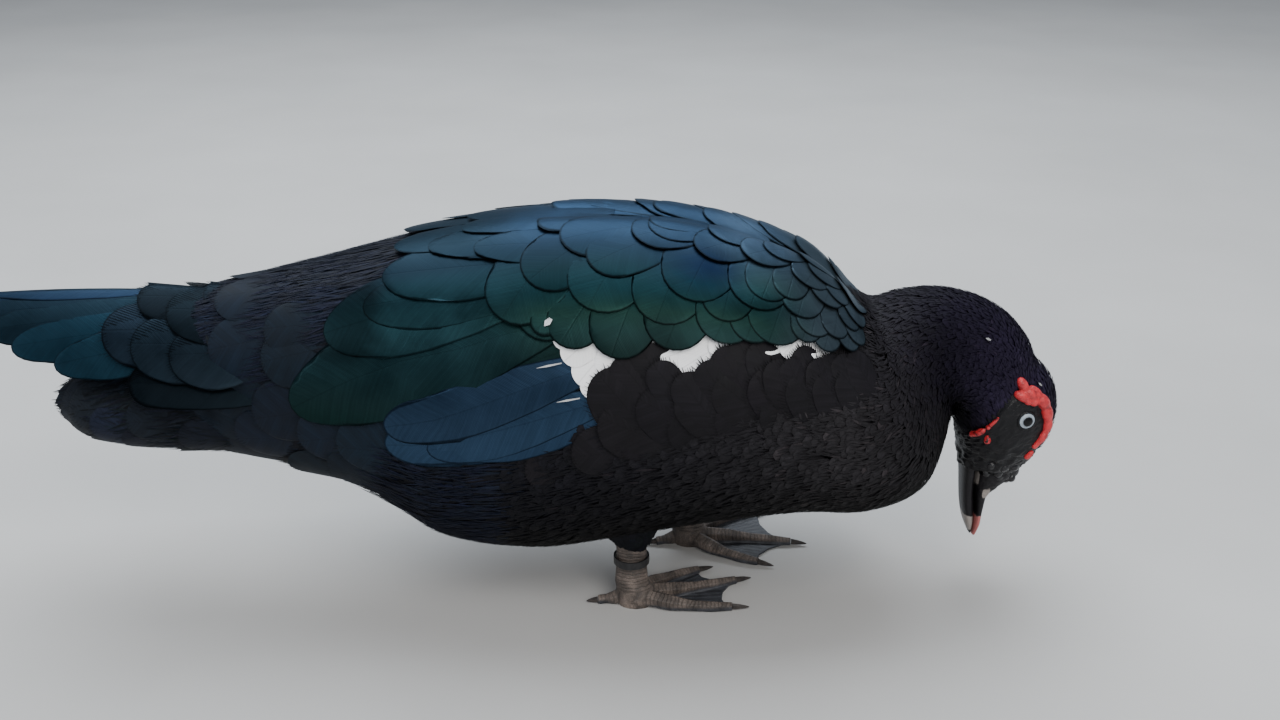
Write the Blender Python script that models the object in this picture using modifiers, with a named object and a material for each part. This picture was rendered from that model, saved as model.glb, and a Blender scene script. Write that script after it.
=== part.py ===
"""A Muscovy drake as a life-size still model, standing with its head bent down to feed.

Metres, +Z up. The bird faces +X and its left side is +Y. The origin is on the floor,
below the middle of the whole model. The plumage of the body is a smooth form; the
flight feathers, the coverts and the tail are vanes fused at their roots.
"""

import math
import random
from collections import namedtuple

import bmesh
import bpy
import numpy as np
from mathutils import Matrix, Vector

# Driving dimensions, in metres.
GAP = 0.0003                # what two touching pieces keep between them
SEGMENTS = 28               # corners round the body
SECTION_ROUNDS = 2.15       # exponent of the body's sections; 2 is an ellipse
FLOOR_TO_HOCK = 0.054       # where the bare shank starts
ANKLE_HEIGHT = 0.019
SHANK_DEPTH = 0.0112        # half of the shank's depth, front to back
SHANK_WIDTH = 0.0086        # half of its width
BAND_MIDDLE = 0.0365        # height of the leg band over the floor
BAND_HEIGHT = 0.0055
BAND_WALL = 0.0011
EYE_RADIUS = 0.0082
EYE_DEPTH = 0.0056          # the eye's centre below the skin
EYE_PLACE, EYE_ANGLE = 18.28, 78
SHARP = math.radians(38)    # edges that turn more than this stay sharp
BACK_PARTING = math.radians(1.3)  # how near to the middle of the back a wing reaches
VANE = 0.0011               # thickness of a feather's vane with its shaft
WING_DEPTH = 0.0060         # depth of the wing below its feathers
TAIL_ROOT, TAIL_END = -0.190, -0.373

# One section of the body: its dorsal and ventral points in the bird's own plane,
# and half its width.
Section = namedtuple("Section", "dorsal_x dorsal_z ventral_x ventral_z half_width")
BODY = [
    Section(-0.218, 0.221, -0.200, 0.107, 0.047),   # tail root
    Section(-0.165, 0.234, -0.158, 0.097, 0.063),
    Section(-0.115, 0.246, -0.112, 0.085, 0.081),
    Section(-0.080, 0.2555, -0.078, 0.066, 0.092),
    Section(-0.050, 0.2625, -0.050, 0.048, 0.099),
    Section(0.010, 0.2720, 0.010, 0.039, 0.107),
    Section(0.070, 0.2745, 0.070, 0.049, 0.111),
    Section(0.130, 0.2675, 0.130, 0.061, 0.110),
    Section(0.180, 0.2515, 0.193, 0.069, 0.105),
    Section(0.212, 0.233, 0.243, 0.069, 0.096),
    Section(0.231, 0.218, 0.283, 0.087, 0.081),
    Section(0.243, 0.211, 0.299, 0.133, 0.060),     # neck root
    Section(0.262, 0.2185, 0.3005, 0.1385, 0.048),
    Section(0.288, 0.2220, 0.3015, 0.1380, 0.040),
    Section(0.314, 0.2170, 0.3025, 0.1355, 0.036),
    Section(0.335, 0.2055, 0.3035, 0.1315, 0.0345),
    Section(0.350, 0.1890, 0.3050, 0.1265, 0.034),   # nape
    Section(0.3575, 0.1740, 0.3065, 0.1210, 0.034),
    Section(0.3700, 0.1600, 0.3080, 0.1150, 0.034),  # crest
    Section(0.3755, 0.1400, 0.3095, 0.1080, 0.033),
    Section(0.3730, 0.1200, 0.3105, 0.1020, 0.030),
    Section(0.3650, 0.1040, 0.3115, 0.0975, 0.025),
    Section(0.3580, 0.0935, 0.3125, 0.0925, 0.020),  # root of the bill
]
RUMP, NECK_ROOT, NAPE, BILL_ROOT = 4.4, 11, 16, 22

# The bill from its root to its tip: the dorsal line, the line of the mouth and the
# ventral line, as x and z, and half the width.
BILL = [(0.3568, 0.0930, 0.3240, 0.0926, 0.3130, 0.0921, 0.0170),
        (0.3510, 0.0765, 0.3235, 0.0790, 0.3140, 0.0800, 0.0148),
        (0.3430, 0.0660, 0.3240, 0.0680, 0.3150, 0.0690, 0.0134),
        (0.3375, 0.0570, 0.3255, 0.0570, 0.3165, 0.0570, 0.0132),
        (0.3325, 0.0450, 0.3260, 0.0450, 0.3195, 0.0450, 0.0124),
        (0.3290, 0.0350, 0.3255, 0.0340, 0.3225, 0.0370, 0.0070)]

# Where the legs stand: the joints, the way the foot points in degrees, and how far
# its toes are spread.
Leg = namedtuple("Leg", "side hip hock ankle heading spread")
RIGHT_LEG = Leg("right", (0.072, -0.050, 0.088), (0.077, -0.044, FLOOR_TO_HOCK),
                (0.077, -0.043, ANKLE_HEIGHT), 18, 0.75)
LEFT_LEG = Leg("left", (0.104, 0.048, 0.090), (0.114, 0.043, FLOOR_TO_HOCK),
               (0.119, 0.042, ANKLE_HEIGHT), -4, 1.1)
# Each toe's angle from the foot's heading to the outer side in degrees, its length,
# and how far it bows outwards, as a share of its length.
TOES = {"inner": (-27, 0.063, -0.07), "middle": (0, 0.080, 0.02), "outer": (35, 0.072, 0.07)}
HALLUX = (-165, 0.024, 0.0)

# The folded wing lies on the body between two angles, from the shoulder to its tip:
# the place along the body, and the angles of its upper and its lower edge in degrees.
WING = [(9.0, 16, 35), (8.3, 8, 48), (7.5, 4, 54), (6.5, 3, 64), (5.7, 3, 79),
        (4.6, 4, 88), (3.8, 10, 91), (3.2, 26, 91), (2.5, 50, 88)]

# The long feathers of the wing, from the back down to its lower edge: place and angle
# of the tip, heading below the way to the tail in degrees, length and width.
FLIGHT = [(3.05, 7, 7, 0.110, 0.036), (3.0, 30, 13, 0.120, 0.042), (4.0, 17, 10, 0.095, 0.036),
          (1.95, 56, 22, 0.140, 0.046), (1.45, 86, 27, 0.180, 0.052), (2.15, 83, 24, 0.150, 0.044),
          (2.8, 89, 16, 0.118, 0.036), (3.1, 94, 12, 0.098, 0.034)]

# The core of the tail: share of the way to the tips, half width, top and depth.
TAIL_CORE = [(0, 0.048, -0.001, 0.034), (0.22, 0.048, 0.000, 0.028), (0.40, 0.040, 0.002, 0.018),
             (0.52, 0.033, 0.002, 0.007)]

# The coverts of one side of the tail: root and tip as share and distance across, width,
# and the height of root and tip over the roof of the tail.
TAIL_COVERTS = [((0.24, 0.010), (0.66, 0.013), 0.044, -0.004, 0.0030),
                ((0.18, 0.030), (0.62, 0.036), 0.050, -0.004, 0.0040),
                ((0.02, 0.018), (0.42, 0.022), 0.044, -0.004, 0.0040),
                ((0.10, 0.038), (0.49, 0.046), 0.046, -0.004, 0.0030)]

# The wedge under the tail, from its root to its tip: x, half width, top and bottom.
UNDERTAIL = [(-0.188, 0.046, 0.174, 0.107), (-0.225, 0.045, 0.181, 0.1075),
             (-0.260, 0.042, 0.185, 0.111), (-0.290, 0.036, 0.182, 0.121),
             (-0.315, 0.027, 0.172, 0.135), (-0.330, 0.015, 0.164, 0.147)]

# Its feathers: place and angle in degrees of the tip, place of the root, and width.
UNDERTAIL_VANES = [(5.25, 180, 2.6, 0.044), (4.4, 140, 1.9, 0.042), (3.1, 124, 1.1, 0.042)]

# The red caruncles run in chains over the face: place, angle in degrees and radius.
BROW_CHAIN = [(16.35, 63, 0.0040), (17.15, 62, 0.0050), (17.9, 56, 0.0052), (18.5, 53.5, 0.0046),
              (19.05, 53, 0.0043), (19.55, 59, 0.0043), (19.95, 66, 0.0036), (20.4, 67, 0.0038)]
CHIN_CHAIN = [(17.25, 103, 0.0033), (17.45, 119, 0.0040), (17.4, 138, 0.0040)]
CHIN_BRANCH = [(17.55, 121, 0.0040), (18.45, 121, 0.0042)]


def clear_scene():
    """Removes every object that the startup scene brings."""
    for obj in list(bpy.data.objects):
        bpy.data.objects.remove(obj, do_unlink=True)


def material(name, colour, roughness, metallic=0.0):
    """A plain Principled material of one colour."""
    made = bpy.data.materials.new(name)
    made.use_nodes = True
    shader = made.node_tree.nodes["Principled BSDF"]
    shader.inputs["Base Color"].default_value = (*colour, 1.0)
    shader.inputs["Roughness"].default_value = roughness
    shader.inputs["Metallic"].default_value = metallic
    made.diffuse_color = (*colour, 1.0)
    return made


def collection(name):
    made = bpy.data.collections.new(name)
    bpy.context.scene.collection.children.link(made)
    return made


def object_of(bm, name, home, finish=None):
    """A mesh object of what bm holds, with its faces pointing out."""
    bmesh.ops.triangulate(bm, faces=bm.faces[:], quad_method="FIXED")
    bmesh.ops.recalc_face_normals(bm, faces=bm.faces[:])
    mesh = bpy.data.meshes.new(name)
    bm.to_mesh(mesh)
    bm.free()
    made = bpy.data.objects.new(name, mesh)
    home.objects.link(made)
    if finish:
        mesh.materials.append(finish)
    return made


def apply_modifiers(obj):
    """Replaces the object's mesh with what its modifiers make of it."""
    graph = bpy.context.evaluated_depsgraph_get()
    mesh = bpy.data.meshes.new_from_object(obj.evaluated_get(graph))
    obj.modifiers.clear()
    obj.data = mesh


def enclosed(faces):
    """Six times the volume inside a closed surface of triangles."""
    return sum(a.co.dot(b.co.cross(c.co)) for a, b, c in (face.verts for face in faces))


def keep_largest(obj):
    """Keeps the largest closed surface of a mesh, and drops sealed hollows and scraps."""
    bm = bmesh.new()
    bm.from_mesh(obj.data)
    bmesh.ops.triangulate(bm, faces=bm.faces[:])
    unseen = set(bm.faces)
    shells = []
    while unseen:
        shell, edge_of_shell = [], [unseen.pop()]
        while edge_of_shell:
            face = edge_of_shell.pop()
            shell.append(face)
            for edge in face.edges:
                for near in edge.link_faces if edge.is_manifold else ():
                    if near in unseen:
                        unseen.remove(near)
                        edge_of_shell.append(near)
        shells.append(shell)
    shells.sort(key=enclosed)
    lost = [face for shell in shells[:-1] for face in shell]
    bmesh.ops.delete(bm, geom=lost, context="FACES")
    bm.to_mesh(obj.data)
    bm.free()


def combine(base, pieces, operation, solver="EXACT"):
    """Joins the pieces to base, or cuts them from it, and removes them."""
    group = collection(base.name + "_" + operation.lower())
    for piece in pieces:
        for home in list(piece.users_collection):
            home.objects.unlink(piece)
        group.objects.link(piece)
    boolean = base.modifiers.new(operation.title(), "BOOLEAN")
    boolean.operation = operation
    boolean.operand_type = "COLLECTION"
    boolean.collection = group
    boolean.solver = solver
    if solver == "EXACT":
        boolean.use_self = operation == "UNION"
    bpy.context.view_layer.update()
    apply_modifiers(base)
    for piece in list(group.objects):
        bpy.data.objects.remove(piece, do_unlink=True)
    bpy.data.collections.remove(group)
    keep_largest(base)
    return base


def grown(obj, by, home):
    """A copy of a mesh object, swollen by a distance along its normals: a cutter."""
    copy = obj.copy()
    copy.data = obj.data.copy()
    copy.name = obj.name + "_grown"
    home.objects.link(copy)
    copy.hide_render = True
    copy.display_type = "WIRE"
    bm = bmesh.new()
    bm.from_mesh(copy.data)
    bm.normal_update()
    moved = [v.co + v.normal * by * v.calc_shell_factor() for v in bm.verts]
    for vertex, place in zip(bm.verts, moved):
        vertex.co = place
    bm.to_mesh(copy.data)
    bm.free()
    return copy


def fit_against(obj, neighbours, home, gap=GAP):
    """Cuts obj back so that it keeps a gap to each neighbour."""
    return combine(obj, [grown(n, gap, home) for n in neighbours], "DIFFERENCE")


def loft(rings, name, home, finish=None):
    """A closed skin over rings of points, with a flat cap at each end."""
    bm = bmesh.new()
    loops = [[bm.verts.new(point) for point in ring] for ring in rings]
    count = len(loops[0])
    for near, far in zip(loops, loops[1:]):
        for i in range(count):
            j = (i + 1) % count
            bm.faces.new((near[i], near[j], far[j], far[i]))
    bm.faces.new(loops[0][::-1])
    bm.faces.new(loops[-1])
    return object_of(bm, name, home, finish)


def smooth_row(rows, place):
    """A row of a table read between its rows, on a smooth curve through them."""
    table = np.asarray(rows, float)
    last = len(table) - 1
    i = int(min(max(math.floor(place), 0), last - 1))
    t = place - i
    before, after = table[max(i - 1, 0)], table[min(i + 2, last)]
    start, end = table[i], table[i + 1]
    slope_in, slope_out = (end - before) / 2, (after - start) / 2
    return ((2 * t**3 - 3 * t**2 + 1) * start + (t**3 - 2 * t**2 + t) * slope_in
            + (3 * t**2 - 2 * t**3) * end + (t**3 - t**2) * slope_out)


def section_point(section, angle, rounds=SECTION_ROUNDS):
    """A point on a section; angle 0 is dorsal and a quarter turn is the right side."""
    dorsal = Vector((section[0], 0, section[1]))
    ventral = Vector((section[2], 0, section[3]))
    up, across = math.cos(angle), math.sin(angle)
    bend = lambda value: math.copysign(abs(value) ** (2 / rounds), value)
    middle, reach = (dorsal + ventral) / 2, (dorsal - ventral) / 2
    return middle + reach * bend(up) + Vector((0, -section[4] * bend(across), 0))


def body_point(place, angle, lift=0.0):
    """A point on the body, or lifted off it, at a place along BODY and an angle round it."""
    at = lambda p, a: section_point(smooth_row(BODY, p), a)
    point = at(place, angle)
    if lift == 0.0:
        return point
    step = 0.02
    along = at(place + step, angle) - at(place - step, angle)
    around = at(place, angle + step) - at(place, angle - step)
    return point + around.cross(along).normalized() * lift


def ring_angles(count=SEGMENTS):
    return [2 * math.pi * i / count for i in range(count)]


def body_length(first, last, steps, name, home, finish):
    """A length of the body between two places, ending half a gap short at a cut."""
    places = np.linspace(first, last, steps + 1)
    rings = [[body_point(p, a) for a in ring_angles()] for p in places]
    for ring, inner in ((rings[0], rings[1]), (rings[-1], rings[-2])):
        way = sum(inner, Vector()) / len(inner) - sum(ring, Vector()) / len(ring)
        flat = (ring[0] - ring[SEGMENTS // 2]).cross(Vector((0, 1, 0))).normalized()
        shift = flat * math.copysign(GAP / 2, flat.dot(way))
        for i, point in enumerate(ring):
            ring[i] = point + shift
    return loft(rings, name, home, finish)


def patch(points, thickness, name, home, finish=None, offset=1.0):
    """A closed plate: a grid of points, made thick towards its outer side.

    Seen from that side, the rows run on to the left of the way the columns run.
    """
    rows, columns = len(points), len(points[0])
    bm = bmesh.new()
    bmesh.ops.create_grid(bm, x_segments=columns - 1, y_segments=rows - 1, size=1.0)
    bm.verts.ensure_lookup_table()
    for i, vertex in enumerate(bm.verts):
        vertex.co = points[i // columns][i % columns]
    bmesh.ops.triangulate(bm, faces=bm.faces[:], quad_method="FIXED")
    mesh = bpy.data.meshes.new(name)
    bm.to_mesh(mesh)
    bm.free()
    made = bpy.data.objects.new(name, mesh)
    home.objects.link(made)
    shell = made.modifiers.new("Thickness", "SOLIDIFY")
    shell.thickness = thickness
    shell.offset = offset
    bpy.context.view_layer.update()
    apply_modifiers(made)
    if finish:
        made.data.materials.append(finish)
    return made


def foot_ring(centre, along, half_height, half_width, count=6):
    """A ring round a toe or a shank, flat side across the way it runs."""
    along = Vector(along).normalized()
    side = along.cross(Vector((0, 0, 1)))
    side = side.normalized() if side.length > 0.1 else Vector((0, 1, 0))
    up = side.cross(along).normalized()
    return [Vector(centre) + side * half_width * math.sin(a) + up * half_height * math.cos(a)
            for a in ring_angles(count)]


def make_thigh(leg, torso, home, finish):
    """The feathers of the upper leg, where it comes out of the belly."""
    hip, hock = Vector(leg.hip), Vector(leg.hock) + Vector((0, 0, GAP))
    radii = [0.034, 0.031, 0.026, 0.020, 0.0155]
    rings = []
    for i, radius in enumerate(radii):
        centre = hip.lerp(hock, i / (len(radii) - 1))
        rings.append([centre + Vector((radius * math.cos(a), radius * 0.85 * math.sin(a), 0))
                      for a in ring_angles(20)])
    thigh = loft(rings, "thigh_" + leg.side, home, finish)
    return fit_against(thigh, [torso], home)


def make_shank(leg, home, finish):
    """The bare shank, from the feathers to the foot, a little waisted."""
    top, ankle = Vector(leg.hock), Vector(leg.ankle)
    rings = []
    for share, swell in ((0.0, 1.0), (0.3, 0.96), (0.6, 0.96), (1.0, 1.06)):
        centre = top.lerp(ankle, share)
        rings.append([centre + Vector((SHANK_DEPTH * swell * math.cos(a),
                                       SHANK_WIDTH * swell * math.sin(a), 0))
                      for a in ring_angles(20)])
    return loft(rings, "shank_" + leg.side, home, finish)


def toe_path(leg, toe, share):
    """A point on a toe's middle line, the toe's radius there, and the way it points."""
    angle, length, bow = toe
    outward = -1 if leg.side == "right" else 1
    spread = leg.spread if abs(angle) < 90 else 1.0
    turn = math.radians(leg.heading + outward * angle * spread)
    way = Vector((math.cos(turn), math.sin(turn), 0))
    side = Vector((-way.y, way.x, 0)) * outward
    radius = 0.0048 * (1 - share) ** 1.5 + 0.0036
    ankle = Vector((leg.ankle[0], leg.ankle[1], radius - 0.0008))
    centre = ankle + way * length * share + side * bow * length * math.sin(math.pi * share)
    return centre, radius, (way + side * bow * math.pi * math.cos(math.pi * share)).normalized()


def make_toe(leg, toe, home, steps=5):
    """One toe, tapering, with a low knuckle at each joint, its underside below the floor."""
    rings = []
    for i in range(steps + 1):
        centre, radius, way = toe_path(leg, toe, i / steps)
        swollen = radius * (1 + 0.08 * math.cos(i * math.pi))
        rings.append(foot_ring(centre, way, swollen, swollen * 0.95))
    return loft(rings, "toe", home)


def make_web(leg, first, second, home, steps=3):
    """The web between two toes, a thin plate whose free edge curves in."""
    middle = toe_path(leg, first, 0.1)[0].lerp(toe_path(leg, second, 0.1)[0], 0.5)
    points = []
    for i in range(1, steps + 1):
        share = 0.97 * i / steps
        near, far = toe_path(leg, first, share)[0], toe_path(leg, second, share)[0]
        row = []
        for across in np.linspace(0, 1, 4):
            hollow = 0.11 * math.sin(math.pi * across) * i / steps
            point = near.lerp(far, across).lerp(middle, hollow)
            row.append(Vector((point.x, point.y, 0.0010)))
        points.append(row)
    return patch(points, 0.0018, "web", home, offset=0.0)


def make_foot(leg, home, finish):
    """A webbed foot with flat soles on the floor."""
    ankle = Vector(leg.ankle)
    rings = []
    for height, swell, ahead in ((ANKLE_HEIGHT - GAP, 1.06, 0), (0.013, 1.16, 0.002),
                                 (0.007, 1.28, 0.003), (-0.001, 1.15, 0.003)):
        rings.append([Vector((ankle.x + ahead + SHANK_DEPTH * swell * math.cos(a),
                              ankle.y + SHANK_WIDTH * swell * math.sin(a), height))
                      for a in ring_angles(20)])
    foot = loft(rings, "foot_" + leg.side, home, finish)
    pieces = [make_toe(leg, TOES[name], home) for name in TOES]
    pieces.append(make_toe(leg, HALLUX, home, steps=4))
    pieces.append(make_web(leg, TOES["inner"], TOES["middle"], home))
    pieces.append(make_web(leg, TOES["middle"], TOES["outer"], home))
    combine(foot, pieces, "UNION")
    below = bmesh.new()
    bmesh.ops.create_cube(below, size=0.4, matrix=Matrix.Translation((ankle.x, ankle.y, -0.2)))
    return combine(foot, [object_of(below, "below_floor", home)], "DIFFERENCE")


def make_claw(leg, name, toe, home, finish):
    """A short claw in line with its toe, its point just over the floor."""
    centre, radius, way = toe_path(leg, toe, 1.0)
    length = 0.008 if name == "hallux" else 0.012
    rings = []
    for share, size in ((0.0, 0.80), (0.45, 0.62), (0.8, 0.36), (1.0, 0.10)):
        point = centre + way * (GAP + length * share) - Vector((0, 0, 0.0009 * share))
        rings.append(foot_ring(point, way, radius * size * 0.9, radius * size * 0.7))
    claw = loft(rings, f"claw_{leg.side}_{name}", home, finish)
    lowest = min(v.co.z for v in claw.data.vertices)
    claw.data.transform(Matrix.Translation((0, 0, max(0.0, 0.0002 - lowest))))
    return claw


def make_band(leg, home, finish):
    """The closed ring on the shank."""
    middle = Vector(leg.ankle)
    middle.z = BAND_MIDDLE
    inner = SHANK_DEPTH + GAP
    bm = bmesh.new()
    corners = [(inner, 1), (inner, -1), (inner + BAND_WALL, -1), (inner + BAND_WALL, 1)]
    rim = [bm.verts.new(Vector((r, 0, side * BAND_HEIGHT / 2))) for r, side in corners]
    for i in range(4):
        bm.edges.new((rim[i], rim[(i + 1) % 4]))
    mesh = bpy.data.meshes.new("leg_band")
    bm.to_mesh(mesh)
    bm.free()
    band = bpy.data.objects.new("leg_band", mesh)
    home.objects.link(band)
    turn = band.modifiers.new("Turn", "SCREW")
    turn.steps = turn.render_steps = 24
    turn.use_merge_vertices = True
    turn.merge_threshold = 0.00001
    turn.use_normal_flip = True
    band.location = middle
    band.data.materials.append(finish)
    return band


def bill_ring(dorsal, ventral, half_width, rounds, count=16):
    row = (dorsal[0], dorsal[1], ventral[0], ventral[1], half_width)
    return [section_point(row, a, rounds) for a in ring_angles(count)]


def ball(centre, radius, name, home, finish=None, squash=(1, 1, 1)):
    """A small round piece."""
    bm = bmesh.new()
    bmesh.ops.create_uvsphere(bm, u_segments=7, v_segments=5, radius=radius,
                              matrix=Matrix.Diagonal((*squash, 1)))
    made = object_of(bm, name, home, finish)
    made.data.transform(Matrix.Translation(centre))
    return made


def make_bill(home, upper_finish, lower_finish):
    """The two halves of the bill, a gap apart along the line of the mouth."""
    half_gap = GAP * 0.7
    upper, lower = [], []
    for place in np.linspace(0, len(BILL) - 1, 11):
        row = smooth_row(BILL, place)
        dorsal, mouth, ventral, width = row[0:2], row[2:4], row[4:6], row[6]
        upper.append(bill_ring(dorsal, (mouth[0] + half_gap, mouth[1]), width, 2.5))
        lower.append(bill_ring((mouth[0] - half_gap, mouth[1]), ventral, width * 0.86, 2.6))
    top = loft(upper, "bill_upper", home, upper_finish)
    for side in (-1, 1):
        nostril = ball((0.3425, side * 0.0105, 0.0690), 0.0034, "nostril", home,
                       squash=(0.7, 1, 1.5))
        combine(top, [nostril], "DIFFERENCE")
    return top, loft(lower, "bill_lower", home, lower_finish)


def make_eye(side, home, finish):
    """An eyeball set in the head."""
    angle = math.radians(EYE_ANGLE) * -side
    centre = body_point(EYE_PLACE, angle, -EYE_DEPTH)
    bm = bmesh.new()
    bmesh.ops.create_uvsphere(bm, u_segments=14, v_segments=8, radius=EYE_RADIUS)
    eye = object_of(bm, "eye_" + ("left" if side > 0 else "right"), home, finish)
    outward = body_point(EYE_PLACE, angle, 0.001) - body_point(EYE_PLACE, angle)
    eye.data.transform(Matrix.Translation(centre) @ outward.to_track_quat("Z", "Y").to_matrix().to_4x4())
    return eye


def make_lids(side, home):
    """The bare ring of lids round an eye."""
    angle = math.radians(EYE_ANGLE) * -side
    centre = body_point(EYE_PLACE, angle, -0.0004)
    outward = body_point(EYE_PLACE, angle, 0.001) - body_point(EYE_PLACE, angle)
    bpy.ops.mesh.primitive_torus_add(major_radius=0.0068, minor_radius=0.0015,
                                     major_segments=14, minor_segments=5)
    lids = bpy.context.object
    for collection_of in list(lids.users_collection):
        collection_of.objects.unlink(lids)
    home.objects.link(lids)
    lids.data.transform(Matrix.Translation(centre) @ outward.to_track_quat("Z", "Y").to_matrix().to_4x4())
    return lids


def chain_of_bulbs(chain, spacing, home, draw):
    """Bulbs of uneven size set close together along a line on the face."""
    bulbs = []
    place, reached = 0.0, None
    while place <= len(chain) - 1:
        at, angle, radius = smooth_row(chain, place)
        centre = body_point(at, math.radians(angle), radius * 0.35)
        if reached is None or (centre - reached).length >= spacing:
            size = radius * draw.uniform(0.9, 1.12)
            bulbs.append(ball(centre, size, "bulb", home))
            reached = centre
        place += 0.02
    return bulbs


def make_caruncles(name, chains, head, home, finish):
    """A ridge of fused red bulbs on the right side of the face."""
    draw = random.Random(7)
    bulbs = [bulb for chain in chains for bulb in chain_of_bulbs(chain, 0.0079, home, draw)]
    base = bulbs.pop(0)
    base.name = name
    base.data.materials.append(finish)
    combine(base, bulbs, "UNION")
    return fit_against(base, [head], home)


def mirrored(obj, name, home):
    """The same piece on the left side."""
    twin = obj.copy()
    twin.data = obj.data.copy()
    twin.name = twin.data.name = name
    twin.data.transform(Matrix.Diagonal((1, -1, 1, 1)))
    twin.data.flip_normals()
    home.objects.link(twin)
    return twin


def plate_on_body(table, depth, rows, columns, name, home, finish):
    """A plate on the right side of the body, between the two edges that a table gives."""
    points = []
    for step in np.linspace(len(table) - 1, 0, rows):
        place, upper, lower = smooth_row(table, step)
        points.append([body_point(place, math.radians(a), -0.0015)
                       for a in np.linspace(upper, lower, columns)])
    return patch(points, depth + 0.0015, name, home, finish)


def travel(place, angle, heading, distance):
    """Where a step over the body leads. Heading 0 is to the tail, a quarter turn is down."""
    step = 0.01
    along = (body_point(place + step, angle) - body_point(place - step, angle)) / (2 * step)
    around = (body_point(place, angle + step) - body_point(place, angle - step)) / (2 * step)
    tailward = -along.normalized()
    down = around.cross(along).normalized().cross(tailward)
    way = (tailward * math.cos(heading) + down * math.sin(heading)) * distance
    metric = Matrix(((along.dot(along), along.dot(around)), (along.dot(around), around.dot(around))))
    change = metric.inverted() @ Vector((way.dot(along), way.dot(around)))
    return place + change[0], angle + change[1]


def clear_of_parting(angle):
    """An angle squeezed so that it stays on its own side of the middle of the back."""
    if angle > 2 * BACK_PARTING:
        return angle
    return BACK_PARTING * (1 + math.exp(angle / BACK_PARTING - 2))


def vane_half_width(share):
    """A vane's half width along it, as a share of the widest: a round tip, a narrow root."""
    return np.interp(share, (0, 0.35, 0.68, 0.9, 1), (0.55, 0.88, 1, 0.72, 0.26))


def body_vane(tip, heading, length, width, rise, tilt, home, shares):
    """One feather lying on the body. rise is the height of its root and its tip."""
    place, angle = tip
    marks = [tip]
    for near, far in zip(shares[::-1], shares[-2::-1]):
        place, angle = travel(place, angle, heading, (far - near) * length)
        marks.append((place, angle))
    points = []
    for share, (place, angle) in zip(shares[::-1], marks):
        half = vane_half_width(share) * width / 2
        row = []
        for side in (-1, 1):
            spot = travel(place, angle, heading + math.pi / 2, half * side)
            spot = (spot[0], clear_of_parting(spot[1]))
            lift = rise[0] + (rise[1] - rise[0]) * share - tilt * side
            row.append(body_point(*spot, lift))
        points.append(row)
    return patch(points, VANE, "vane", home)


def mantle_vanes(home, draw):
    """The round feathers over the shoulder and the wing, in staggered tiers."""
    vanes = []
    tiers = 6
    for tier in range(tiers):
        share = tier / (tiers - 1)
        place = 8.5 - 3.1 * share
        width = 0.034 + 0.018 * share
        pitch = width * 0.86 / 0.0019
        lowest = 47 + 16 * share - (tier % 2) * pitch / 2
        for row in range(int((lowest - 11) / pitch) + 1):
            angle = lowest - row * pitch
            heading = math.radians(14 + 0.78 * angle + draw.uniform(-3, 3))
            spot = (place + draw.uniform(-0.06, 0.06), math.radians(angle))
            raised = 0.0064 if angle < 30 else 0.0086
            vanes.append(body_vane(spot, heading, width * 1.75, width, (0.0035, raised), 0.0009,
                                   home, (0, 0.60, 0.87, 1)))
    return vanes


def flight_vanes(home):
    """The long feathers behind the mantle."""
    vanes = []
    for place, angle, heading, length, width in FLIGHT:
        spot = (place, math.radians(angle))
        vanes.append(body_vane(spot, math.radians(heading), length, width, (0.0030, 0.0072),
                               0.0022, home, (0, 0.45, 0.80, 0.93, 1)))
    return vanes


def make_wing(neighbours, home, finish):
    """The right wing, folded on the body."""
    wing = plate_on_body(WING, WING_DEPTH, 10, 6, "wing_right", home, finish)
    combine(wing, mantle_vanes(home, random.Random(3)) + flight_vanes(home), "UNION")
    return fit_against(wing, neighbours, home)


def tail_point(share, across, lift=0.0):
    """A point on the low roof of the tail. share runs to the tips; across is in metres."""
    x = TAIL_ROOT + (TAIL_END - TAIL_ROOT) * share
    ridge = 0.222 + 0.012 * share - 0.0145 * share ** 2
    return Vector((x, across, ridge + lift - 0.30 * abs(across) - 7.6 * across ** 2))


def tail_vane(root, tip, width, rise, tuck, home, shares=(0, 0.45, 0.8, 1)):
    """One tail feather, from root to tip as share and across.

    tuck is how much its inner half dips, per metre across, under the feather within.
    """
    outward = math.copysign(1, tip[1])
    points = []
    for share in shares[::-1]:
        half = vane_half_width(share) * width / 2
        along = root[0] + (tip[0] - root[0]) * share
        middle = root[1] + (tip[1] - root[1]) * share
        lift = rise[0] + (rise[1] - rise[0]) * share
        slope = (tuck[0] + (tuck[1] - tuck[0]) * share) * outward
        points.append([tail_point(along, middle + half * side, lift + slope * half * side)
                       for side in (1, -1)])
    return patch(points, VANE, "vane", home)


def make_tail(rump, home, finish):
    """The tail: a low roof of long feathers, with coverts over its root."""
    rings = []
    for share, half, top, depth in TAIL_CORE:
        upper = [tail_point(share, half * v, top) for v in np.linspace(-1, 1, 7)]
        lower = [p - Vector((0, 0, 0.005 + depth * (1 - (p.y / half) ** 2))) for p in upper]
        rings.append(upper + lower[::-1])
    tail = loft(rings, "tail", home, finish)
    vanes = []
    near, far = 0.0068, 0.0103
    tuck = ((VANE + 2 * GAP) / near, (VANE + 2 * GAP) / far)
    for side in (-1, 1):
        for k in range(6):
            tip = (1.0 - 0.012 * k - 0.0135 * k ** 2, side * far * (k + 0.6))
            root = (min(0.44, tip[0] - 0.42), side * near * (k + 0.6))
            vanes.append(tail_vane(root, tip, 0.036, (-0.0015, 0.0), tuck, home))
        for root, tip, width, root_rise, tip_rise in TAIL_COVERTS:
            vanes.append(tail_vane((root[0], side * root[1]), (tip[0], side * tip[1]), width,
                                   (root_rise, tip_rise), (0.05, 0.05), home))
    combine(tail, vanes, "UNION")
    return fit_against(tail, [rump], home)


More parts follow.
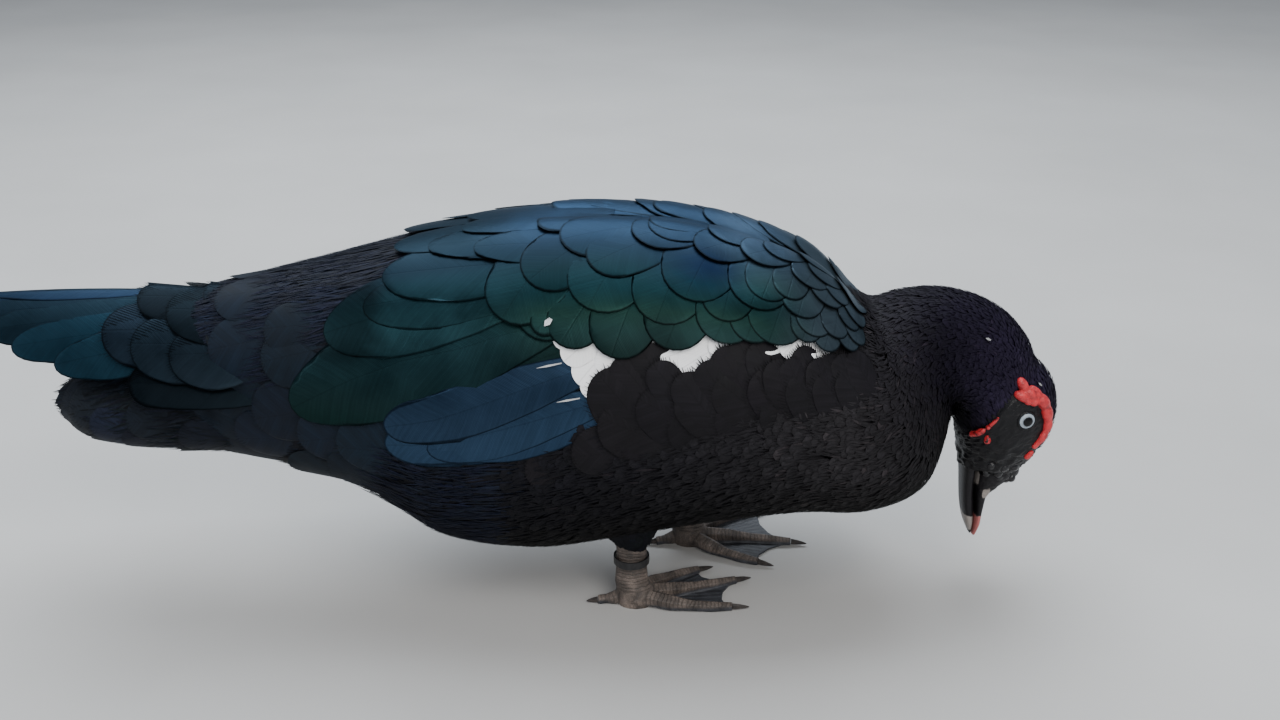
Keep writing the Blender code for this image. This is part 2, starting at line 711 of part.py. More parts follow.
def undertail_point(place, angle, lift=0.0):
    """A point on the wedge of feathers under the tail, as a place along it and an angle."""
    x, half, top, bottom = smooth_row(UNDERTAIL, place)
    middle, tall = (top + bottom) / 2, (top - bottom) / 2
    return Vector((x, (half + lift) * math.sin(angle), middle + (tall + lift) * math.cos(angle)))


def make_undertail(neighbours, home, finish):
    """The thick soft coverts that fill the space under the tail."""
    rings = [[undertail_point(place, a) for a in ring_angles(16)]
             for place in np.linspace(0, len(UNDERTAIL) - 1, 7)]
    wedge = loft(rings, "undertail_coverts", home, finish)
    vanes = []
    for tip, middle, root, width in UNDERTAIL_VANES:
        for side in (-1, 1) if middle < 180 else (1,):
            points = []
            for share in (1, 0.8, 0.45, 0):
                place = root + (tip - root) * share
                reach = vane_half_width(share) * width / 2 / smooth_row(UNDERTAIL, place)[1]
                lift = -0.002 + 0.0055 * share
                points.append([undertail_point(place, math.radians(middle * side) + reach * edge, lift)
                               for edge in (1, -1)])
            vanes.append(patch(points, VANE, "vane", home))
    combine(wedge, vanes, "UNION")
    return fit_against(wedge, neighbours, home)


def main():
    clear_scene()
    bird = collection("muscovy_drake")
    plumage = material("black_plumage", (0.012, 0.012, 0.015), 0.6)
    gloss = material("green_gloss", (0.01, 0.06, 0.06), 0.35, 0.3)
    bare_leg = material("leg_skin", (0.12, 0.09, 0.07), 0.7)
    horn = material("horn", (0.05, 0.045, 0.045), 0.4)
    ring = material("band", (0.01, 0.01, 0.01), 0.4)
    red = material("caruncle", (0.6, 0.05, 0.05), 0.35)
    iris = material("eye", (0.5, 0.52, 0.55), 0.1)

    rump = body_length(0, RUMP, 8, "rump", bird, plumage)
    torso = body_length(RUMP, NECK_ROOT, 12, "torso", bird, plumage)
    body_length(NECK_ROOT, NAPE, 7, "neck", bird, plumage)
    head = body_length(NAPE, BILL_ROOT, 9, "head", bird, plumage)
    eyes = [make_eye(side, bird, iris) for side in (-1, 1)]
    combine(head, [make_lids(side, bird) for side in (-1, 1)], "UNION")
    fit_against(head, eyes, bird)
    make_bill(bird, horn, horn)
    for name, chains in (("brow_caruncles", [BROW_CHAIN]),
                         ("chin_caruncles", [CHIN_CHAIN, CHIN_BRANCH])):
        ridge = make_caruncles(name + "_right", chains, head, bird, red)
        mirrored(ridge, name + "_left", bird)
    wing = make_wing([torso, rump], bird, gloss)
    mirrored(wing, "wing_left", bird)
    tail = make_tail(rump, bird, gloss)
    make_undertail([rump, tail], bird, plumage)
    for leg in (RIGHT_LEG, LEFT_LEG):
        make_thigh(leg, torso, bird, plumage)
        make_shank(leg, bird, bare_leg)
        make_foot(leg, bird, bare_leg)
        for name, toe in (*TOES.items(), ("hallux", HALLUX)):
            make_claw(leg, name, toe, bird, horn)
    make_band(RIGHT_LEG, bird, ring)
    for made in bird.objects:
        made.data.shade_smooth()
        made.data.set_sharp_from_angle(angle=SHARP)


main()
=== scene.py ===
"""A Muscovy drake feeding with its head down, dressed over its packed solid parts.

One black skin lies under the plumage. Feathers of every size lie on it as solid vanes,
from the velvet of the head to the long feathers of the wings and the tail. Metres, +Z up,
the bird faces +X. A place on the body is a place along BODY and an angle round it, where
0 is the middle of the back and a quarter turn is the right side.
"""

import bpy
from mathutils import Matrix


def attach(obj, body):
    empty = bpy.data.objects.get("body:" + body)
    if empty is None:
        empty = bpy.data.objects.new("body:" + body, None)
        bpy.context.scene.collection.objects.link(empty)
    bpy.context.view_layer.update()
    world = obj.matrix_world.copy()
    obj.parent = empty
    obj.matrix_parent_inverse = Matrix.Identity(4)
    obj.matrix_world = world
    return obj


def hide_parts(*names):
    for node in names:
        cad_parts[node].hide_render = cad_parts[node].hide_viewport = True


bl_info = {
    "name": "Muscovy drake",
    "version": (1, 0, 0),
    "blender": (4, 5, 0),
    "location": "View3D > Sidebar > Drake",
    "description": "Dresses the solid parts of a Muscovy drake in skin, feathers and bare parts",
    "category": "Object",
}

import math

import bmesh
import bpy
import numpy as np
from bpy.props import FloatProperty, FloatVectorProperty, PointerProperty
from mathutils import Matrix, Vector, noise

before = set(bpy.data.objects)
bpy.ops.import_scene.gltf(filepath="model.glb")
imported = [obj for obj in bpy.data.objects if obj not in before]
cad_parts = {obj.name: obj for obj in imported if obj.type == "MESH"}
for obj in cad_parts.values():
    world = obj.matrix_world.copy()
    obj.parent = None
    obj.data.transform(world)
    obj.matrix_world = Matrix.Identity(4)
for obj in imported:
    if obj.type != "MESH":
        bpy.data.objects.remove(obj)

# The body's sections: the dorsal and ventral points in the bird's own plane as x and z,
# and half the width. The solid parts are made from the same ones.
BODY = [(-0.218, 0.221, -0.200, 0.107, 0.047), (-0.165, 0.234, -0.158, 0.097, 0.063),
        (-0.115, 0.246, -0.112, 0.085, 0.081), (-0.080, 0.2555, -0.078, 0.066, 0.092),
        (-0.050, 0.2625, -0.050, 0.048, 0.099), (0.010, 0.2720, 0.010, 0.039, 0.107),
        (0.070, 0.2745, 0.070, 0.049, 0.111), (0.130, 0.2675, 0.130, 0.061, 0.110),
        (0.180, 0.2515, 0.193, 0.069, 0.105), (0.212, 0.233, 0.243, 0.069, 0.096),
        (0.231, 0.218, 0.283, 0.087, 0.081), (0.243, 0.211, 0.299, 0.133, 0.060),
        (0.262, 0.2185, 0.3005, 0.1385, 0.048), (0.288, 0.2220, 0.3015, 0.1380, 0.040),
        (0.314, 0.2170, 0.3025, 0.1355, 0.036), (0.335, 0.2055, 0.3035, 0.1315, 0.0345),
        (0.350, 0.1890, 0.3050, 0.1265, 0.034), (0.3575, 0.1740, 0.3065, 0.1210, 0.034),
        (0.3700, 0.1600, 0.3080, 0.1150, 0.034), (0.3755, 0.1400, 0.3095, 0.1080, 0.033),
        (0.3730, 0.1200, 0.3105, 0.1020, 0.030), (0.3650, 0.1040, 0.3115, 0.0975, 0.025),
        (0.3580, 0.0935, 0.3125, 0.0925, 0.020)]
BODY_ROUNDS = 2.15
BODY_STEP = (0.02, 0.02)

# The bill from its root to its tip: dorsal line, mouth and ventral line, half the width.
BILL = [(0.3568, 0.0930, 0.3240, 0.0926, 0.3130, 0.0921, 0.0170),
        (0.3460, 0.0800, 0.3235, 0.0810, 0.3140, 0.0820, 0.0148),
        (0.3345, 0.0690, 0.3240, 0.0690, 0.3150, 0.0700, 0.0134),
        (0.3314, 0.0570, 0.3252, 0.0570, 0.3165, 0.0570, 0.0132),
        (0.3302, 0.0450, 0.3256, 0.0450, 0.3192, 0.0450, 0.0124),
        (0.3285, 0.0340, 0.3254, 0.0340, 0.3225, 0.0370, 0.0070)]

# The wedge of soft feathers under the tail: x, half width, top and bottom.
UNDERTAIL = [(-0.188, 0.046, 0.174, 0.107), (-0.224, 0.045, 0.179, 0.1075),
             (-0.256, 0.043, 0.178, 0.1095), (-0.281, 0.040, 0.172, 0.113),
             (-0.300, 0.034, 0.165, 0.118), (-0.311, 0.024, 0.158, 0.125)]
UNDERTAIL_STEP = (0.05, 0.02)
TAIL_ROOT, TAIL_END = -0.190, -0.373
TAIL_STEP = (0.01, 0.001)
# The tail's core: share of the tail, half width, depth of its top under the roof, thickness.
TAIL_CORE = [(-0.10, 0.046, 0.005, 0.044), (0.10, 0.050, 0.005, 0.040), (0.25, 0.050, 0.005, 0.034),
             (0.36, 0.046, 0.005, 0.022), (0.46, 0.038, 0.005, 0.006)]

EYE_DEPTH = 0.0056
EYE_PLACE, EYE_ANGLE = 18.28, math.radians(78)

# The thighs: hip and hock.
THIGHS = {"right": ((0.072, -0.050, 0.088), (0.077, -0.044, 0.0543)),
          "left": ((0.104, 0.048, 0.090), (0.114, 0.043, 0.0543))}

ANKLES = {"right": (0.077, -0.043), "left": (0.119, 0.042)}

# Feather tables give the place and angle of the tip in degrees, the heading below the way
# to the tail in degrees, the length and the width.
MANTLE = [(9.30, 20, 50, 0.032, 0.024), (9.20, 34, 70, 0.034, 0.024), (9.05, 46, 78, 0.032, 0.022),
          (8.92, 40, 78, 0.034, 0.022), (8.95, 12, 20, 0.038, 0.026), (8.70, 28.5, 70, 0.034, 0.022),
          (8.78, 51, 82, 0.032, 0.022), (8.50, 48, 82, 0.038, 0.024), (8.42, 34, 74, 0.044, 0.028),
          (8.35, 20, 50, 0.040, 0.028), (8.12, 50.5, 82, 0.044, 0.028), (8.30, 55, 80, 0.034, 0.022),
          (8.12, 28, 68, 0.042, 0.030), (8.15, 9, 20, 0.046, 0.028), (7.98, 53.5, 76, 0.040, 0.024),
          (7.82, 37.5, 78, 0.044, 0.026), (7.95, 44, 78, 0.050, 0.032), (7.64, 15.5, 40, 0.042, 0.028),
          (7.56, 56.5, 76, 0.064, 0.045), (7.50, 40.5, 75, 0.052, 0.034), (7.36, 44.5, 74, 0.062, 0.046),
          (7.36, 22, 44, 0.050, 0.034), (7.30, 57, 74, 0.056, 0.036), (7.04, 51, 79, 0.054, 0.036),
          (6.96, 58, 68, 0.062, 0.044), (6.96, 12.5, 28, 0.050, 0.036), (6.82, 24.5, 40, 0.054, 0.038),
          (6.66, 44.5, 70, 0.068, 0.051), (6.46, 61.2, 70, 0.064, 0.045), (6.36, 53, 70, 0.070, 0.050),
          (6.32, 15.5, 28, 0.060, 0.040), (6.16, 20, 32, 0.066, 0.044), (6.30, 9, 10, 0.062, 0.030),
          (5.92, 64, 70, 0.068, 0.044), (5.68, 48.5, 62, 0.076, 0.054), (5.38, 21.5, 20, 0.092, 0.050),
          (5.70, 33, 34, 0.076, 0.044), (5.40, 59.5, 56, 0.066, 0.040), (5.14, 55, 46, 0.050, 0.022),
          (5.10, 9.5, 4, 0.086, 0.032), (5.06, 38, 42, 0.080, 0.050), (4.80, 50.5, 56, 0.092, 0.054)]
# The long feathers, with their turn from root to tip; from the top of the stack to the bottom.
SCAPULARS = [(4.48, 20.5, -2, 0.085, 0.034, 0), (4.30, 6, 2, 0.100, 0.034, 0), (3.90, 15, -3, 0.110, 0.038, 0),
             (2.94, 28, -3, 0.120, 0.050, 3), (3.05, 9, -2, 0.120, 0.038, 0), (1.92, 53.5, 5, 0.150, 0.056, 11),
             (2.60, 42, 2, 0.130, 0.044, 5), (1.40, 89, 11, 0.188, 0.060, 19), (3.00, 84, 14, 0.150, 0.044, 14)]
SECONDARIES = [(3.00, 88.5, 14, 0.150, 0.034, 10), (2.98, 95, 11, 0.148, 0.036, 9), (3.95, 92, 9, 0.130, 0.034, 6)]
WHITE_COVERTS = [(5.34, 59, 30, 0.036, 0.016), (5.44, 64.5, 38, 0.042, 0.022), (5.58, 71.5, 46, 0.044, 0.024),
                 (5.66, 75.5, 50, 0.044, 0.018), (5.84, 71, 50, 0.044, 0.030), (5.98, 66, 50, 0.040, 0.026),
                 (6.42, 64.6, 22, 0.036, 0.018), (6.62, 67.8, 34, 0.040, 0.024), (6.94, 62.5, 40, 0.034, 0.020),
                 (7.50, 58.5, 36, 0.030, 0.014), (7.74, 59.5, 50, 0.030, 0.018), (7.92, 57, 55, 0.028, 0.014),
                 (8.16, 57.5, 50, 0.020, 0.012)]
# White shafts on the secondaries and the white spot between two feathers of the mantle.
WHITE_STREAKS = [(5.16, 66, 8, 0.016, 0.0012), (5.36, 76.5, 6, 0.015, 0.0012), (5.25, 53.5, 50, 0.006, 0.0040)]
# Single white flecks on the neck.
WHITE_FLECKS = [(14.1, 57, 5, 0.0044, 0.0016), (16.90, 18, 20, 0.0050, 0.0018), (17.30, 44, 10, 0.0040, 0.0014)]
# The flank's soft feathers point up and back and hide most of the white ones.
FLANK = [(5.78, 68.5, -53, 0.062, 0.040), (5.98, 64, -52, 0.058, 0.034), (6.20, 61.0, -52, 0.054, 0.034),
         (6.34, 66, -52, 0.050, 0.024), (6.60, 69.5, -52, 0.048, 0.026), (6.84, 65.2, -54, 0.046, 0.028),
         (7.02, 60, -54, 0.046, 0.028), (7.22, 56.2, -54, 0.044, 0.030), (7.42, 56.4, -54, 0.042, 0.026),
         (7.61, 62.2, -54, 0.040, 0.024), (7.80, 60.8, -54, 0.038, 0.022), (7.98, 55, -56, 0.040, 0.024),
         (8.21, 58, -58, 0.036, 0.022), (8.40, 55, -58, 0.036, 0.026), (8.66, 53, -54, 0.036, 0.026),
         (8.92, 50, -48, 0.036, 0.026),
         (5.80, 82, -28, 0.064, 0.040), (6.20, 77, -30, 0.060, 0.038), (6.60, 75, -32, 0.056, 0.036),
         (7.00, 71, -34, 0.052, 0.034), (7.40, 68, -34, 0.050, 0.034), (7.85, 67, -34, 0.046, 0.032),
         (8.25, 64, -34, 0.042, 0.030), (8.65, 60, -34, 0.040, 0.028),
         (5.50, 93, -2, 0.064, 0.040), (6.00, 90, -8, 0.060, 0.038), (6.50, 86, -14, 0.056, 0.036),
         (7.00, 82, -18, 0.052, 0.034), (7.50, 79, -20, 0.050, 0.034), (8.00, 75, -20, 0.046, 0.032),
         (8.50, 70, -20, 0.042, 0.030), (5.00, 98, 4, 0.062, 0.038), (4.40, 101, 8, 0.060, 0.036)]
# The outline of the folded wing over the coat: places, and angles of its two edges.
WING_PLACES = (1.6, 2.5, 3.2, 3.8, 4.6, 5.7, 6.5, 7.5, 8.3, 9.0, 9.4)
WING_UPPER = (78, 50, 26, 10, 0, 0, 0, 0, 0, 6, 24)
WING_LOWER = (89, 93, 98, 98, 97, 92, 78, 68, 60, 46, 32)

# The tail's feathers: root and tip as shares of its length and metres to the right, width,
# and the lifts of root and tip over its roof.
TAIL_QUILLS = [(0.16 - 0.02 * k, 0.0076 * (k + 0.6), tip, 0.0124 * (k + 0.6), 0.038, -0.0022, -0.0004 - 0.0004 * k)
               for k, tip in enumerate((1.0, 0.965, 0.895, 0.79, 0.62))]
TAIL_COVERTS = [(-0.16, 0.020, 0.24, 0.022, 0.048, 0.001, 0.0042), (-0.18, 0.042, 0.20, 0.050, 0.048, -0.001, 0.0040),
                (-0.08, 0.040, 0.345, 0.043, 0.052, -0.002, 0.0034), (-0.10, 0.008, 0.36, 0.012, 0.044, -0.002, 0.0028),
                (-0.16, 0.030, 0.46, 0.036, 0.054, -0.0060, 0.0020), (-0.28, 0.056, 0.34, 0.062, 0.036, -0.0070, -0.0006),
                (-0.20, 0.006, 0.12, 0.008, 0.046, -0.001, 0.0047)]
# Dull feathers over the roots of the tail's coverts, in the same measures.
ROOT_COVERTS = [(-0.30, 0.012, 0.06, 0.014, 0.044, -0.002, 0.0052), (-0.30, 0.032, 0.08, 0.036, 0.046, -0.002, 0.0050)]
# Dull soft feathers over the roots of the tail: place, angle, heading, length and width.
RUMP_COVERTS = [(-0.55, 96, 8, 0.066, 0.044), (-0.35, 118, 8, 0.066, 0.046), (-0.10, 140, 6, 0.064, 0.046),
                (0.10, 88, 12, 0.066, 0.046), (0.40, 22.5, 5, 0.066, 0.044), (0.34, 60, 8, 0.068, 0.044),
                (0.45, 116, 10, 0.064, 0.044), (0.80, 98, 14, 0.064, 0.044), (1.02, 67.5, 12, 0.062, 0.042),
                (1.06, 49.5, 4, 0.062, 0.038), (1.10, 136, 8, 0.064, 0.044), (1.42, 106.5, 16, 0.062, 0.042),
                (1.75, 124, 10, 0.062, 0.044), (2.00, 104, 12, 0.060, 0.042)]
# The longest feathers of the wedge under the tail: place and angle of the tip, length, width.
UNDERTAIL_FEATHERS = [(-5.4, 176, 0.080, 0.036), (-5.5, 140, 0.085, 0.036), (-5.5, 100, 0.080, 0.034),
                      (-5.3, 60, 0.080, 0.034), (-5.0, 160, 0.080, 0.042), (-4.8, 122, 0.080, 0.042),
                      (-4.5, 80, 0.075, 0.038), (-4.0, 174, 0.075, 0.044), (-3.8, 142, 0.075, 0.042),
                      (-3.5, 104, 0.070, 0.042), (-2.8, 160, 0.070, 0.042), (-2.6, 124, 0.070, 0.042),
                      (-2.3, 90, 0.065, 0.040), (-1.4, 150, 0.065, 0.042), (-1.2, 112, 0.065, 0.042)]

# The red ridges of the face: place, angle in degrees and radius.
BROW_LOBES = [[(16.38, 63.5, 0.0028), (16.75, 62.5, 0.0034), (17.00, 63.5, 0.0028)],
              [(16.80, 72, 0.0028), (17.15, 68, 0.0036), (17.50, 67, 0.0030)],
              [(17.05, 61.5, 0.0034), (17.40, 60, 0.0040), (17.70, 63, 0.0034)],
              [(17.25, 55.5, 0.0032), (17.70, 55.5, 0.0040), (18.20, 53.5, 0.0040), (18.75, 52.5, 0.0036),
               (19.20, 53, 0.0031), (19.55, 58, 0.0027), (19.85, 65.5, 0.0020)],
              [(20.25, 64, 0.0018), (20.50, 66, 0.0022)]]
CHIN_LOBES = [[(17.12, 100, 0.0009), (17.24, 108, 0.0014), (17.34, 115, 0.0017)],
              [(17.38, 121, 0.0018), (17.44, 129, 0.0024), (17.42, 138, 0.0022)],
              [(18.10, 120, 0.0018), (18.36, 121, 0.0025)]]
# Dark knobs where the bill leaves the face: x, y, z and radius.
BILL_KNOBS = [(0.3490, -0.0080, 0.0880, 0.0052), (0.3500, 0.0, 0.0850, 0.0058), (0.3440, -0.0118, 0.0915, 0.0050),
              (0.3450, -0.0080, 0.0825, 0.0044), (0.3455, 0.0, 0.0805, 0.0048), (0.3350, -0.0140, 0.0945, 0.0048),
              (0.3385, -0.0120, 0.0855, 0.0042), (0.3390, -0.0070, 0.0800, 0.0038), (0.3290, -0.0145, 0.0890, 0.0032),
              (0.3390, -0.0208, 0.0975, 0.0042), (0.3300, -0.0212, 0.0995, 0.0040), (0.3365, -0.0178, 0.0910, 0.0036),
              (0.3275, -0.0165, 0.0925, 0.0026), (0.3465, -0.0182, 0.0965, 0.0040), (0.3480, -0.0110, 0.0835, 0.0034),
              (0.3365, -0.0110, 0.0795, 0.0030), (0.3440, -0.0130, 0.0860, 0.0028)]

CAMERA_PLACE = (0.083, -0.881, 0.544)
CAMERA_TILT = math.radians(23)
CAMERA_LENS = 38.59


# Surfaces.

def unit(v):
    return v / np.maximum(np.linalg.norm(v, axis=-1, keepdims=True), 1e-12)


def dot(a, b):
    return (a * b).sum(-1)


def smooth(value, low, high):
    share = np.clip((value - low) / (high - low), 0, 1)
    return share * share * (3 - 2 * share)


def degrees_from_back(angle):
    return np.abs(np.degrees((angle + math.pi) % (2 * math.pi) - math.pi))


def rows_at(table, place):
    """Rows of a table read at places between them, on smooth curves through them."""
    table = np.asarray(table, float)
    last = len(table) - 1
    inside = np.clip(place, 0, last)
    i = np.clip(np.floor(inside).astype(int), 0, last - 1)
    t = (inside - i)[..., None]
    before, after = table[np.maximum(i - 1, 0)], table[np.minimum(i + 2, last)]
    start, end = table[i], table[i + 1]
    slope_in, slope_out = (end - before) / 2, (after - start) / 2
    beyond = np.minimum(place, 0)[..., None] * (table[1] - table[0])
    beyond = beyond + np.maximum(place - last, 0)[..., None] * (table[-1] - table[-2])
    return ((2 * t**3 - 3 * t**2 + 1) * start + (t**3 - 2 * t**2 + t) * slope_in
            + (3 * t**2 - 2 * t**3) * end + (t**3 - t**2) * slope_out + beyond)


def section_points(row, angle, rounds):
    """Points on sections; each row holds the dorsal x and z, the ventral ones, half width."""
    up, across = (np.sign(v) * np.abs(v) ** (2 / rounds) for v in (np.cos(angle), np.sin(angle)))
    middle, reach = (row[..., 0:2] + row[..., 2:4]) / 2, (row[..., 0:2] - row[..., 2:4]) / 2
    flat = middle + reach * up[..., None]
    return np.stack([flat[..., 0], -row[..., 4] * across, flat[..., 1]], -1)


def body(place, angle):
    return section_points(rows_at(BODY, place), angle, BODY_ROUNDS)


def undertail(place, angle):
    """The wedge under the tail. place is 0 at its root and falls to -5 at its tip."""
    row = rows_at(UNDERTAIL, -place)
    middle, tall = (row[..., 2] + row[..., 3]) / 2, (row[..., 2] - row[..., 3]) / 2
    return np.stack([row[..., 0], -row[..., 1] * np.sin(angle), middle + tall * np.cos(angle)], -1)


def tail_roof(share, across):
    """The roof of the tail: share is 0 at its root and -1 at its tips; metres to the right."""
    x = TAIL_ROOT - (TAIL_END - TAIL_ROOT) * share
    ridge = 0.222 - 0.012 * share - 0.0145 * share**2
    return np.stack([x, -across, ridge - 0.30 * np.abs(across) - 7.6 * across**2], -1)


def thigh(side):
    """The surface of a thigh: 1 at the hip and 0 at the hock, and an angle round it."""
    hip, hock = np.array(THIGHS[side][0]), np.array(THIGHS[side][1])

    def surface(height, angle):
        h = height[..., None]
        radius = 0.0150 + 0.019 * height
        ring = np.stack([radius * np.cos(angle), 0.85 * radius * np.sin(angle), 0 * height], -1)
        return hock * (1 - h) + hip * h + ring
    return surface


def frames(surface, u, v, step):
    """Points of a surface, the ways its two coordinates run, and its outward normals."""
    point = surface(u, v)
    along = (surface(u + step[0], v) - surface(u - step[0], v)) / (2 * step[0])
    around = (surface(u, v + step[1]) - surface(u, v - step[1])) / (2 * step[1])
    return point, along, around, unit(np.cross(around, along))


# The least metres that one step of place may count for: sections crowd under the throat.
SHORTEST = 0.006


def strides(surface, u, v, heading, step):
    """The change of u and v per metre on a heading; 0 is tailward, a quarter turn is down."""
    _, along, around, normal = frames(surface, u, v, step)
    tailward = -unit(along)
    down = np.cross(normal, tailward)
    way = tailward * np.cos(heading)[..., None] + down * np.sin(heading)[..., None]
    e, f, g = dot(along, along), dot(along, around), dot(around, around)
    p, q = dot(way, along), dot(way, around)
    area = np.maximum(e * g - f * f, SHORTEST**2 * g)
    return (g * p - f * q) / area, (e * q - f * p) / area


def skin_depth(place):
    """How far the skin lies below the tips of the coat."""
    return np.interp(place, (0, 4, 9, 11, 16, 17, 22), (0.006, 0.007, 0.006, 0.005, 0.0035, 0.0015, 0.0012))


def bare_edge(angle):
    """How far down the head the feathers reach at an angle: past it the face is bare."""
    return np.interp(degrees_from_back(angle), (0, 44, 50, 56, 62, 72, 90, 105, 120, 140, 180),
                     (21.0, 20.8, 20.2, 17.8, 16.9, 16.9, 16.9, 17.2, 17.4, 17.4, 17.6))


def wing_lift(place, angle):
    """How far the folded wing stands off the body, up to the dip where the wings meet."""
    return 0.0058 * smooth(-place, -9.8, -8.5) * (0.45 + 0.55 * smooth(np.abs(np.degrees(angle)), 0, 10))


def under_wing(place, angle):
    degrees = degrees_from_back(angle)
    return ((degrees > np.interp(place, WING_PLACES, WING_UPPER) + 4) & (place > 1.6) & (place < 9.3)
            & (degrees < np.interp(place, WING_PLACES, WING_LOWER) - 2)) | (
                (place > 3.7) & (place < 9.0) & (degrees < 8))


# Feathers.

class Vane:
    """The pattern of one feather: a closed thin pillow of quads, known by row and column."""

    def __init__(self, shares, cells, outline, tip, slender):
        """shares run from root to tip, outline gives the half width at each of them. tip is
        the length of the rounded end and slender the whole length, both in widths."""
        columns = np.sin(np.linspace(-math.pi / 2, math.pi / 2, cells + 1))
        bm = bmesh.new()
        bmesh.ops.create_grid(bm, x_segments=cells, y_segments=len(shares) - 1, size=1.0)
        bm.verts.ensure_lookup_table()
        for i, vertex in enumerate(bm.verts):
            vertex.co = (i % (cells + 1), i // (cells + 1), 0)
        raised = bmesh.ops.extrude_face_region(bm, geom=bm.faces[:], use_keep_orig=True)["geom"]
        for vertex in (g for g in raised if isinstance(g, bmesh.types.BMVert)):
            inside = 0 < vertex.co.x < cells and 0 < vertex.co.y < len(shares) - 1
            vertex.co.z = 1.0 if inside else 0.0
        bmesh.ops.remove_doubles(bm, verts=bm.verts[:], dist=0.001)
        bmesh.ops.recalc_face_normals(bm, faces=bm.faces[:])
        bm.verts.index_update()
        place = np.array([vertex.co for vertex in bm.verts])
        self.faces = np.array([[v.index for v in face.verts] for face in bm.faces])
        bm.free()
        self.row, column = place[:, 1].astype(int), place[:, 0].astype(int)
        self.shares = np.array(shares, float)
        self.share, self.across = self.shares[self.row], -columns[column]
        self.rim = (column == 0) | (column == cells) | (self.row == 0) | (self.row == len(shares) - 1)
        self.side = np.where(self.rim, 0.0, np.where(place[:, 2] > 0.5, 1.0, -1.0))
        self.half = np.interp(self.share, *zip(*outline))
        self.back = tip * (1 - np.sqrt(1 - np.clip(self.across**2, 0, 1))) * self.share**3
        flat = np.stack([self.across * self.half / 2, self.share * slender - self.back], -1)
        self.edge = self.edge_distance(flat, column, cells, len(shares) - 1)

    def edge_distance(self, flat, column, cells, top):
        """How far each vertex lies from the feather's outline, in widths; the root's is left out."""
        sides = [np.flatnonzero(column == c)[np.argsort(self.row[column == c])] for c in (0, cells)]
        end = np.flatnonzero(self.row == top)[np.argsort(column[self.row == top])]
        order = np.concatenate([sides[0], end, sides[1][::-1]])
        outline = flat[order]
        self.outline = np.c_[outline[:, 0], self.share[order], self.back[order], self.across[order]]
        self.walked = np.concatenate([[0], np.cumsum(np.linalg.norm(np.diff(outline, axis=0), axis=1))])
        start, run = outline[:-1], np.diff(outline, axis=0)
        gap = flat[:, None, :] - start[None]
        t = np.clip(dot(gap, run[None]) / np.maximum(dot(run, run), 1e-12)[None], 0, 1)
        return np.linalg.norm(gap - t[..., None] * run[None], axis=-1).min(1)


PLUME = Vane((0, 0.4, 0.75, 1), 4, ((0, 0.5), (0.4, 0.95), (0.75, 1), (1, 0.8)), 0.5, 1.8)
WISP = Vane((0, 0.55, 1), 2, ((0, 0.6), (0.55, 1), (1, 0.12)), 0.0, 4.0)
COVERT = Vane((0, 0.2, 0.4, 0.58, 0.74, 0.87, 0.965, 1), 12,
              ((0, 0.35), (0.2, 0.70), (0.4, 0.92), (0.6, 1.0), (0.8, 1.0), (1, 0.92)), 0.46, 1.8)
QUILL = Vane((0, 0.12, 0.25, 0.38, 0.5, 0.6, 0.7, 0.79, 0.87, 0.94, 0.985, 1), 12,
             ((0, 0.30), (0.15, 0.62), (0.4, 0.90), (0.65, 1.0), (0.85, 0.95), (1, 0.80)), 0.75, 3.5)


def lay(surface, kind, u, v, heading, length, width, tip_lift, rise, *, step=BODY_STEP, from_tip=False,
        camber=0.0, roll=0.0, thick=0.0003, sweep=0.0, base=None):
    """Points of vanes on a surface, their measures, roots and distances to their outlines.
    Each vane's tip lies tip_lift over the surface, and its root lies rise lower."""
    u, v, heading, length, width, tip_lift, rise, sweep = np.broadcast_arrays(
        *[np.asarray(x, float) for x in (u, v, heading, length, width, tip_lift, rise, sweep)])
    order = range(len(kind.shares))
    at_u, at_v = {}, {}
    now_u, now_v, before = u.copy(), v.copy(), None
    for i in (reversed(order) if from_tip else order):
        if before is not None:
            change = strides(surface, now_u, now_v, heading + sweep * kind.shares[i], step)
            run = (kind.shares[i] - kind.shares[before]) * length
            now_u, now_v = now_u + change[0] * run, now_v + change[1] * run
        at_u[i], at_v[i], before = now_u, now_v, i
    mid_u = np.stack([at_u[i] for i in order], 1)
    mid_v = np.stack([at_v[i] for i in order], 1)
    turned = heading[:, None] + sweep[:, None] * kind.shares[None, :]
    ahead = strides(surface, mid_u, mid_v, turned, step)
    aside = strides(surface, mid_u, mid_v, turned + math.pi / 2, step)
    across, row = kind.across[None, :], kind.row
    reach = across * kind.half[None, :] * width[:, None] / 2
    back = -kind.back[None, :] * width[:, None]
    pu = mid_u[:, row] + aside[0][:, row] * reach + ahead[0][:, row] * back
    pv = mid_v[:, row] + aside[1][:, row] * reach + ahead[1][:, row] * back
    point, _, _, normal = frames(surface, pu, pv, step)
    run = kind.share[None, :] * length[:, None] + back
    lift = tip_lift[:, None] - rise[:, None] * (1 - run / length[:, None])
    if base is not None:
        lift = lift + base(pu, pv)
    lift = lift - camber * width[:, None] * across**2 + roll * across + kind.side[None, :] * thick / 2
    return (point + normal * lift[..., None], np.stack([reach, run], -1),
            np.stack([mid_u[:, 0], mid_v[:, 0]], -1), kind.edge[None, :] * width[:, None], (mid_u, mid_v),
            (pu, pv))


